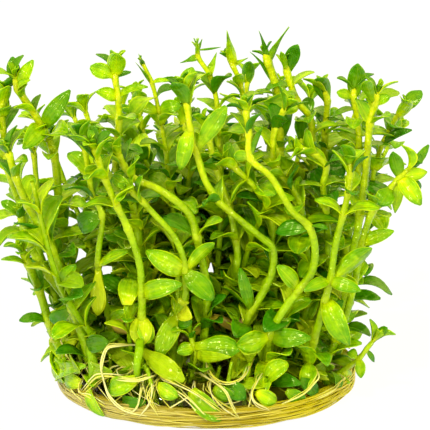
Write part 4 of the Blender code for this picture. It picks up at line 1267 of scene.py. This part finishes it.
class BACOPA_OT_sunken_leaves(bpy.types.Operator):
    """Lay the leaves that grew down into the gel"""

    bl_idname = "bacopa.sunken_leaves"
    bl_label = "Sunken Leaves"

    def execute(self, context):
        settings = context.scene.bacopa_leaf
        chance = random.Random("sunken leaves")
        blades = skinned_blades(leaf_material(settings))
        parts = []
        for foot, tip, inset, width, kind in SUNKEN_LEAVES:
            start, end = on_wall(*foot, (inset + 1.4) * MM), on_wall(*tip, inset * MM)
            parts.append(self.sunken(start, end, width * MM, kind, settings, blades, chance))
        for _ in range(settings.sunken_count):
            angle = chance.uniform(-0.35, math.pi + 0.35)
            reach = puck_radius() - chance.uniform(1.0, 7.0) * MM
            start = ring_place(angle, reach, chance.uniform(1.5, 6.0) * MM)
            turn = angle + chance.uniform(-0.22, 0.22)
            reach -= chance.uniform(-0.6, 1.5) * MM
            end = ring_place(turn, reach, chance.uniform(1.2, 6.5) * MM)
            width = max(1.6 * MM, (end - start).length * 0.55)
            kind = chance.choice(("broad", "oval"))
            parts.append(self.sunken(start, end, width, kind, settings, blades, chance))
        finish_piece(joined(parts, "sunken_leaves"), "leaf_green")
        return {"FINISHED"}

    @staticmethod
    def sunken(start, end, width, kind, settings, blades, chance):
        """One leaf that lies along the wall."""
        outward = Vector((start.x + end.x, start.y + end.y, 0.0)).normalized()
        age = max(0.0, chance.uniform(-0.6, 0.5))
        plan = LeafPlan(start, end, width, outward.cross(end - start), outward, kind, age)
        plan.loose = True
        return grown_leaf(plan, blades, settings, chance)


class BACOPA_OT_wall_stems(bpy.types.Operator):
    """Press the lower stretches of some stems against the wall of the gel"""

    bl_idname = "bacopa.wall_stems"
    bl_label = "Stems in the Gel"

    def execute(self, context):
        settings = context.scene.bacopa_stem
        chance = random.Random("wall stems")
        routes = []
        for start_radius, end_radius, places in WALL_STEMS:
            points = []
            for index, (column, row, inset) in enumerate(places):
                radius = start_radius + (end_radius - start_radius) * index / (len(places) - 1)
                place = on_wall(column, row, inset * MM)
                place.z = max(place.z, 2.0 * MM)
                points.append((place, radius * MM))
            route = smooth_route(points, settings.step)
            route = [(place, radius * (1.0 + 0.14 * noise.noise(place * 260))) for place, radius in route]
            back = (route[0][0] - route[1][0]).normalized()
            onward = (route[-1][0] - route[-2][0]).normalized()
            start = (route[0][0] + back * 0.5 * MM, POINT)
            end = (route[-1][0] + onward * 0.5 * MM, POINT)
            routes.append([start] + route + [end])
        skin = stem_material(settings, settings.deep_and_shade_colour)
        stems = root_bundle("wall_stems", routes, 3, skin, chance)
        point_attribute(stems.data, "node", 0.0)
        mark_painted_light(stems.data)
        finish_piece(stems, "leaf_green")
        return {"FINISHED"}


class BACOPA_OT_wound_roots(bpy.types.Operator):
    """Wind the roots round the rim of the puck and across its underside"""

    bl_idname = "bacopa.wound_roots"
    bl_label = "Wound Roots"

    def execute(self, context):
        settings = context.scene.bacopa_root
        chance = random.Random("wound roots")
        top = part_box("root_mat")[1].z
        outer = puck_radius() - settings.radius * 1.3
        routes = []
        for _ in range(settings.ring_count):
            radius = settings.radius * chance.uniform(0.7, 1.25)
            routes.append(self.ring_root(chance, outer, top, radius))
        for _ in range(settings.floor_count):
            radius = settings.radius * chance.uniform(0.6, 1.1)
            routes.append(self.floor_root(chance, outer, radius))
        skin = root_material(
            "golden roots", settings.colour, settings.pale_colour, 0.22, settings.left_colour,
            settings.right_colour)
        finish_piece(root_bundle("wound_roots", routes, 0, skin, chance), "wound_roots", "root_mat")
        self.add_mats(outer - BAND_INSET, settings)
        return {"FINISHED"}

    @staticmethod
    def add_mats(reach, settings):
        """The matted band that the roots are wound over, and the mat on the underside."""
        band = added(
            bpy.ops.mesh.primitive_torus_add, "root_band", major_segments=96, minor_segments=12,
            major_radius=reach, minor_radius=BAND_HEIGHT / 2,
            location=(0.0, 0.0, BAND_FOOT + BAND_HEIGHT / 2))
        bpy.ops.object.transform_apply(location=True, rotation=False, scale=False)
        band.data.materials.append(band_material(settings))
        band.data.shade_smooth()
        finish_piece(band, "wound_roots")
        mat = added(
            bpy.ops.mesh.primitive_cylinder_add, "root_floor", vertices=96, radius=reach,
            depth=MAT_DEPTH, location=(0.0, 0.0, MAT_DEPTH / 2 + MAT_FOOT))
        bpy.ops.object.transform_apply(location=True, rotation=False, scale=False)
        skin = root_material("matted floor", settings.floor_colour, settings.floor_pale, 0.3)
        mat.data.materials.append(skin)
        finish_piece(mat, "wound_roots")

    @staticmethod
    def ring_root(chance, outer, top, radius):
        """A root that runs round the rim, up and down and in and out."""
        start = chance.uniform(0.0, 2 * math.pi)
        sweep = chance.uniform(1.6, 5.4)
        count = round(sweep * 12)
        height = chance.uniform(0.0, 1.0)
        inset = chance.uniform(0.3 * MM, 4.5 * MM) * (1.0 - 0.5 * height)
        seed = noise_seed(chance)
        route = []
        for step in range(count + 1):
            angle = start + sweep * step / count
            wander = noise.noise(seed + Vector((angle * 1.3, 0.0, 0.0)))
            lift = noise.noise(seed + Vector((0.0, angle * 1.7, 0.0)))
            ceiling = top * (1.0 - LEFT_FALL * max(0.0, -math.cos(angle) - 0.3))
            z = radius + (ceiling - 2 * radius) * (height + 0.35 * lift)
            z = min(max(z, radius + FLOOR_GAP), top - radius)
            undercut = 0.5 * MM * max(0.0, 1.0 - z / MM)
            reach = outer - undercut - max(0.35 * MM, inset + 1.6 * MM * wander)
            thin = min(1.0, 0.15 + 6.0 * min(step, count - step) / count)
            route.append((ring_place(angle, reach, z), radius * thin))
        return route

    @staticmethod
    def floor_root(chance, outer, radius):
        """A root that crosses the underside in a loose curve."""
        start = chance.uniform(0.0, 2 * math.pi)
        end = start + chance.uniform(0.5, 2.8)
        reach = outer - 3.0 * MM
        a = ring_place(start, 1.0, 0.0) * reach * chance.uniform(0.3, 1.0)
        b = ring_place(end, 1.0, 0.0) * reach * chance.uniform(0.5, 1.0)
        bend = (a + b) / 2 + Vector((chance.uniform(-8, 8) * MM, chance.uniform(-8, 8) * MM, 0.0))
        height = chance.uniform(radius, 1.4 * MM)
        route = []
        for step in range(25):
            t = step / 24
            place = a * (1 - t) ** 2 + bend * 2 * t * (1 - t) + b * t ** 2
            place.z = height + 0.2 * MM * math.sin(9 * t + start)
            place.z = max(radius + FLOOR_GAP, place.z)
            route.append((place, radius * min(1.0, 0.2 + 5 * min(t, 1 - t))))
        return route


def root_bundle(name, routes, resolution, skin, chance):
    """Roots along routes of (place, radius) as one piece, each with its own tone."""
    roots = tube_mesh(name, routes, resolution)
    sides = 4 + 2 * resolution
    tones = []
    for route in routes:
        tones += [chance.random()] * (len(route) * sides)
    point_attribute(roots.data, "tone", tones)
    roots.data.shade_smooth()
    roots.data.materials.append(skin)
    return roots


class BACOPA_OT_loose_roots(bpy.types.Operator):
    """Hang the loose roots that run from the stems down into the gel"""

    bl_idname = "bacopa.loose_roots"
    bl_label = "Loose Roots"

    def execute(self, context):
        settings = context.scene.bacopa_root
        chance = random.Random("loose roots")
        routes = []
        for node, radius, places in LOOSE_ROOTS:
            stem = stem_at(ShootForm(node), *places[0][:2])
            points = []
            for column, row, share in places:
                wall = wall_depth(column, LOOSE_INSET)
                place = seen_at(column, row, wall + (stem.y - wall) * share)
                place.z = max(place.z, MM)
                points.append((place, radius * MM))
            for companion in range(3):
                spread, thickness = 0.3 + 0.9 * companion, 1.0 - 0.26 * companion
                routes.append(self.wandering(points, spread, thickness, chance))
        for _ in range(settings.gel_count):
            routes.append(self.gel_root(settings, chance))
        skin = root_material("loose roots", settings.loose_colour, settings.white_colour, 0.22)
        finish_piece(root_bundle("loose_roots", routes, 1, skin, chance), "wound_roots")
        return {"FINISHED"}

    @staticmethod
    def wandering(points, spread, thickness, chance):
        """A root along a route that strays up to spread mm off it and thins out to its end."""
        route = smooth_route(points, 0.8 * MM)
        last = len(route) - 1
        seed = noise_seed(chance)
        stray = spread * MM
        strayed = []
        for step, (place, radius) in enumerate(route):
            place = place + stray * noise.noise_vector(seed + place * 110) * min(1.0, 4.0 * step / last)
            reach = math.hypot(place.x, place.y)
            if place.z < LOW_HEIGHT and reach > puck_radius() - ROOT_INSET:
                place.xy *= (puck_radius() - ROOT_INSET) / reach
            strayed.append((place, radius * thickness * (0.25 + 0.75 * min(1.0, 9.0 * (last - step) / last))))
        return strayed

    def gel_root(self, settings, chance):
        """A fine root that comes over the edge of the gel and runs down its wall."""
        angle = chance.uniform(0.0, 2 * math.pi)
        sweep = chance.uniform(-0.9, 0.9)
        gel = bpy.context.scene.bacopa_gel
        wall = puck_radius() - gel.inset + 0.25 * MM
        points = []
        for inset, fall in ((5.0, -0.1), (1.2, 0.0), (0.0, 0.25), (0.0, 0.6), (-0.4, 0.95)):
            turn = angle + sweep * max(0.0, fall)
            place = ring_place(turn, wall - inset * MM, 0.0)
            top = gel.height - gel.slope * place.x
            place.z = max(MM, top * (1.0 - fall) * chance.uniform(0.9, 1.0))
            points.append((place, settings.radius * chance.uniform(0.6, 1.3)))
        return self.wandering(points, 0.6, 1.0, chance)


class BACOPA_OT_undergrowth(bpy.types.Operator):
    """Grow the small side shoots between the stems, low ones and inner ones"""

    bl_idname = "bacopa.undergrowth"
    bl_label = "Undergrowth"

    def execute(self, context):
        settings = context.scene.bacopa_undergrowth
        leaf_settings = context.scene.bacopa_leaf
        stem_settings = context.scene.bacopa_stem
        stems = StemMap(shoot_forms())
        blades = skinned_blades(leaf_material(leaf_settings))
        stem_skin = stem_material(stem_settings, stem_settings.low_colour)
        for name, count, heights, inner in (
                ("undergrowth", settings.count, settings.heights, False),
                ("inner_shoots", settings.inner_count, settings.inner_heights, True)):
            chance = random.Random(name)
            routes = []
            plans = []
            while len(routes) < count:
                route = self.side_shoot(heights, inner, chance)
                if any(stems.is_near(place, STEM_GAP) for place, _ in route):
                    continue
                routes.append(route)
                plans += self.side_leaves(route, stems, chance)
            stalks = root_bundle(name, routes, 1, stem_skin, chance)
            point_attribute(stalks.data, "node", 0.0)
            mark_painted_light(stalks.data)
            parts = [grown_leaf(plan, blades, leaf_settings, chance) for plan in plans]
            finish_piece(joined([stalks] + parts, name), "leaf_green")
        return {"FINISHED"}

    @staticmethod
    def side_shoot(heights, inner, chance):
        """The route of a small shoot that stands in the gel."""
        angle = chance.uniform(0.0, 2 * math.pi)
        reach = (puck_radius() - 4.5 * MM) * math.sqrt(chance.random())
        foot = ring_place(angle, reach, 1.6 * MM)
        if inner and foot.y < -12 * MM:
            foot.y = -foot.y
        low, high = heights
        height = chance.uniform(low, high)
        if foot.y < -16 * MM:
            height = min(height, low + 3 * MM)
        lean = Vector(
            (chance.uniform(-0.5, 0.5) + foot.x * 9, chance.uniform(-0.5, 0.5) + foot.y * 9, 0.0))
        top = foot + (Vector((0.0, 0.0, 1.0)) + lean * 0.8) * height
        bend = Vector((chance.uniform(-1, 1), chance.uniform(-1, 1), 0.0)) * 0.1 * height
        thick = 0.75 if inner else 0.6
        middle = foot.lerp(top, 0.5) + bend
        points = [(foot, thick * MM), (middle, 0.9 * thick * MM), (top, 0.6 * thick * MM)]
        return smooth_route(points, 1.2 * MM)

    @staticmethod
    def side_leaves(route, stems, chance):
        """Leaf pairs up a small shoot."""
        plans = []
        turn = chance.uniform(0.0, math.pi)
        for index in range(2, len(route), 2):
            place, radius = route[index]
            way = (place - route[index - 1][0]).normalized()
            turn += math.pi / 2
            for partner in range(2):
                angle = turn + partner * math.pi + chance.uniform(-0.3, 0.3)
                rise = math.radians(chance.uniform(5, 60))
                lengths = (3.8, 7.4) if place.z < 18 * MM else (5.5, 9.5)
                length = chance.uniform(*lengths) * MM
                plan = leaf_round(
                    place, way, angle, radius * 0.3, rise, length, (0.46, 0.66), GROWN_KINDS, chance)
                plan.age = max(0.0, chance.uniform(-0.8, 0.7))
                tip = plan.tip
                within = math.hypot(tip.x, tip.y) < puck_radius() - MM or tip.z > LOW_HEIGHT
                if place.y < -13 * MM and chance.random() < 0.5:
                    continue
                if in_white(plan) or in_clear_front(plan):
                    continue
                if tip.z > 1.5 * MM and within and inside_solids(plan) and not stems.meets(plan):
                    plans.append(plan)
        return plans


class Mound:
    """The heap of old roots and dead leaves in the middle of the puck."""

    def __init__(self, chance):
        self.low, self.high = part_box("old_growth")
        self.chance = chance

    def place(self, way, lift=0.0):
        """The place on the mound in a direction from its middle, or lifted off it."""
        centre = (self.low + self.high) / 2
        half = (self.high - self.low) / 2
        shape = 1.0 + 0.3 * noise.fractal(way * 2.2, 0.6, 2.0, 4)
        return Vector((
            centre.x + way.x * ((half.x - MOUND_SIDE) * shape + lift),
            centre.y + way.y * ((half.y - MOUND_SIDE) * shape + lift),
            self.low.z + max(0.0, way.z) * ((self.high.z - self.low.z - MOUND_TOP) * shape + lift)))

    def any_way(self):
        """A chance direction on the upper half of the mound."""
        across, back, up = (self.chance.uniform(low, 1.0) for low in (-1.0, -1.0, 0.2))
        return Vector((across, back, up)).normalized()

    def fibre(self):
        """A thin old root that wanders over the mound."""
        chance = self.chance
        way = self.any_way()
        axis = Vector((chance.uniform(-1, 1), chance.uniform(-1, 1), chance.uniform(-1, 1))).normalized()
        seed = noise_seed(chance)
        radius = chance.uniform(0.08, 0.24) * MM
        places = [self.place(way, 0.4 * MM)]
        for _ in range(chance.randint(8, 22)):
            way = (way + 0.13 * axis.cross(way) + 0.05 * noise.noise_vector(seed + way * 4)).normalized()
            place = self.place(way, (0.3 + 0.9 * abs(noise.noise(seed + way * 5))) * MM)
            if (place - places[-1]).length > 0.1 * MM:
                places.append(place)
        last = len(places) - 1
        return [
            (place, radius * min(1.0, 0.2 + 5 * min(step, last - step) / last))
            for step, place in enumerate(places)]

    def dead_leaf(self):
        """A limp leaf that lies on the mound."""
        chance = self.chance
        way = self.any_way()
        aside = way.cross(Vector((chance.uniform(-1, 1), chance.uniform(-1, 1), 0.3))).normalized()
        start = self.place(way, 0.4 * MM)
        end = self.place((way + aside * chance.uniform(0.3, 0.6)).normalized(), 0.6 * MM)
        width = (end - start).length * chance.uniform(0.3, 0.6)
        plan = LeafPlan(start, end, width, way.cross(end - start), way)
        plan.curl = chance.uniform(0.2, 0.7)
        return plan


class BACOPA_OT_old_growth(bpy.types.Operator):
    """Make the dark mound of old roots and dead leaves"""

    bl_idname = "bacopa.old_growth"
    bl_label = "Old Growth"

    def execute(self, context):
        settings = context.scene.bacopa_litter
        chance = random.Random("old growth")
        form = Mound(chance)
        mound = added(
            bpy.ops.mesh.primitive_ico_sphere_add, "old_growth_mound", subdivisions=5,
            location=(0.0, 0.0, 0.0))
        for vert in mound.data.vertices:
            vert.co = form.place(vert.co.copy())
        mound.data.shade_smooth()
        mound.data.materials.append(root_material("old growth", settings.dark, settings.brown, 0.5))
        finish_piece(mound, "old_roots", "old_growth")
        routes = [form.fibre() for _ in range(settings.fibres)]
        skin = root_material("old fibres", settings.brown, settings.olive, 0.35)
        parts = [root_bundle("litter", routes, 0, skin, chance)]
        blades = skinned_blades(root_material("dead leaves", settings.brown, settings.olive, 0.35))
        leaf_settings = context.scene.bacopa_leaf
        for _ in range(settings.dead_leaves):
            parts.append(grown_leaf(form.dead_leaf(), blades, leaf_settings, chance))
        finish_piece(joined(parts, "litter"), "old_roots")
        self.arched_leaves(settings, leaf_settings, chance)
        self.grey_lumps(settings)
        return {"FINISHED"}

    @staticmethod
    def arched_leaves(settings, leaf_settings, chance):
        """The limp brown leaves that lie in view in front of the mound, painted gold where light falls on
        them.
        """
        lit_gold = root_material("golden dead leaves", settings.brown, settings.lit_gold, 0.45)
        blades = skinned_blades(lit_gold)
        parts = []
        for foot, tip, near, far, width, light in ARCHED_LEAVES:
            start = seen_at(*foot, near * MM)
            end = seen_at(*tip, far * MM)
            across = FORWARD.cross(end - start) - FORWARD * 0.4 * MM
            plan = LeafPlan(start, end, width * MM, across, UPWARD, "narrow")
            plan.curl = -0.5
            leaf = grown_leaf(plan, blades, leaf_settings, chance)
            # Painted light: the tone given for each leaf sets how far it turns from brown to the lit gold.
            leaf.data.attributes["tone"].data.foreach_set("value", [light] * len(leaf.data.vertices))
            parts.append(leaf)
        finish_piece(joined(parts, "arched_leaves"), "old_roots")

    @staticmethod
    def grey_lumps(settings):
        """Wet grey lumps of old matter."""
        lumps = []
        for column, row, depth, radius in GREY_LUMPS:
            lump = added(
                bpy.ops.mesh.primitive_ico_sphere_add, "grey_lump", subdivisions=4, radius=radius * MM,
                location=(0.0, 0.0, 0.0))
            place = seen_at(column, row, depth * MM)
            for vert in lump.data.vertices:
                vert.co = place + vert.co * (1.0 + 0.5 * noise.fractal((place + vert.co) * 500, 0.7, 2.0, 3))
            lumps.append(lump)
        lump = joined(lumps, "grey_lumps")
        lump.data.shade_smooth()
        skin = Skin("grey wet matter", 0.15, subsurface=0.4)
        skin.paint(skin.mix(skin.ramp(skin.noise(900.0), 0.4, 0.8), settings.grey, settings.brown))
        lump.data.materials.append(skin.material)
        finish_piece(lump, "old_roots")


class BACOPA_PT_panel(bpy.types.Panel):
    """Lists the steps that dress the plant"""

    bl_idname = "BACOPA_PT_panel"
    bl_label = "Lemon Bacopa"
    bl_space_type = "VIEW_3D"
    bl_region_type = "UI"
    bl_category = "Lemon Bacopa"

    def draw(self, context):
        for operator in OPERATORS:
            self.layout.operator(operator.bl_idname)
        for group in SETTINGS:
            for name in SETTINGS[group].__annotations__:
                self.layout.prop(getattr(context.scene, group), name)


SETTINGS = {
    "bacopa_leaf": LeafSettings,
    "bacopa_stem": StemSettings,
    "bacopa_gel": GelSettings,
    "bacopa_root": RootSettings,
    "bacopa_undergrowth": UndergrowthSettings,
    "bacopa_litter": LitterSettings,
    "bacopa_stage": StageSettings,
}
OPERATORS = (
    BACOPA_OT_studio, BACOPA_OT_shoots, BACOPA_OT_gel, BACOPA_OT_sunken_leaves, BACOPA_OT_wall_stems,
    BACOPA_OT_wound_roots, BACOPA_OT_loose_roots, BACOPA_OT_undergrowth, BACOPA_OT_old_growth)


def register():
    for kind in (*SETTINGS.values(), *OPERATORS, BACOPA_PT_panel):
        bpy.utils.register_class(kind)
    for group, kind in SETTINGS.items():
        setattr(bpy.types.Scene, group, PointerProperty(type=kind))


def unregister():
    for group in SETTINGS:
        delattr(bpy.types.Scene, group)
    for kind in (BACOPA_PT_panel, *reversed(OPERATORS), *reversed(list(SETTINGS.values()))):
        bpy.utils.unregister_class(kind)


def main():
    register()
    bpy.ops.bacopa.studio()
    bpy.ops.bacopa.shoots()
    bpy.ops.bacopa.gel()
    bpy.ops.bacopa.sunken_leaves()
    bpy.ops.bacopa.wall_stems()
    bpy.ops.bacopa.wound_roots()
    bpy.ops.bacopa.loose_roots()
    bpy.ops.bacopa.undergrowth()
    bpy.ops.bacopa.old_growth()


if __name__ == "__main__":
    main()
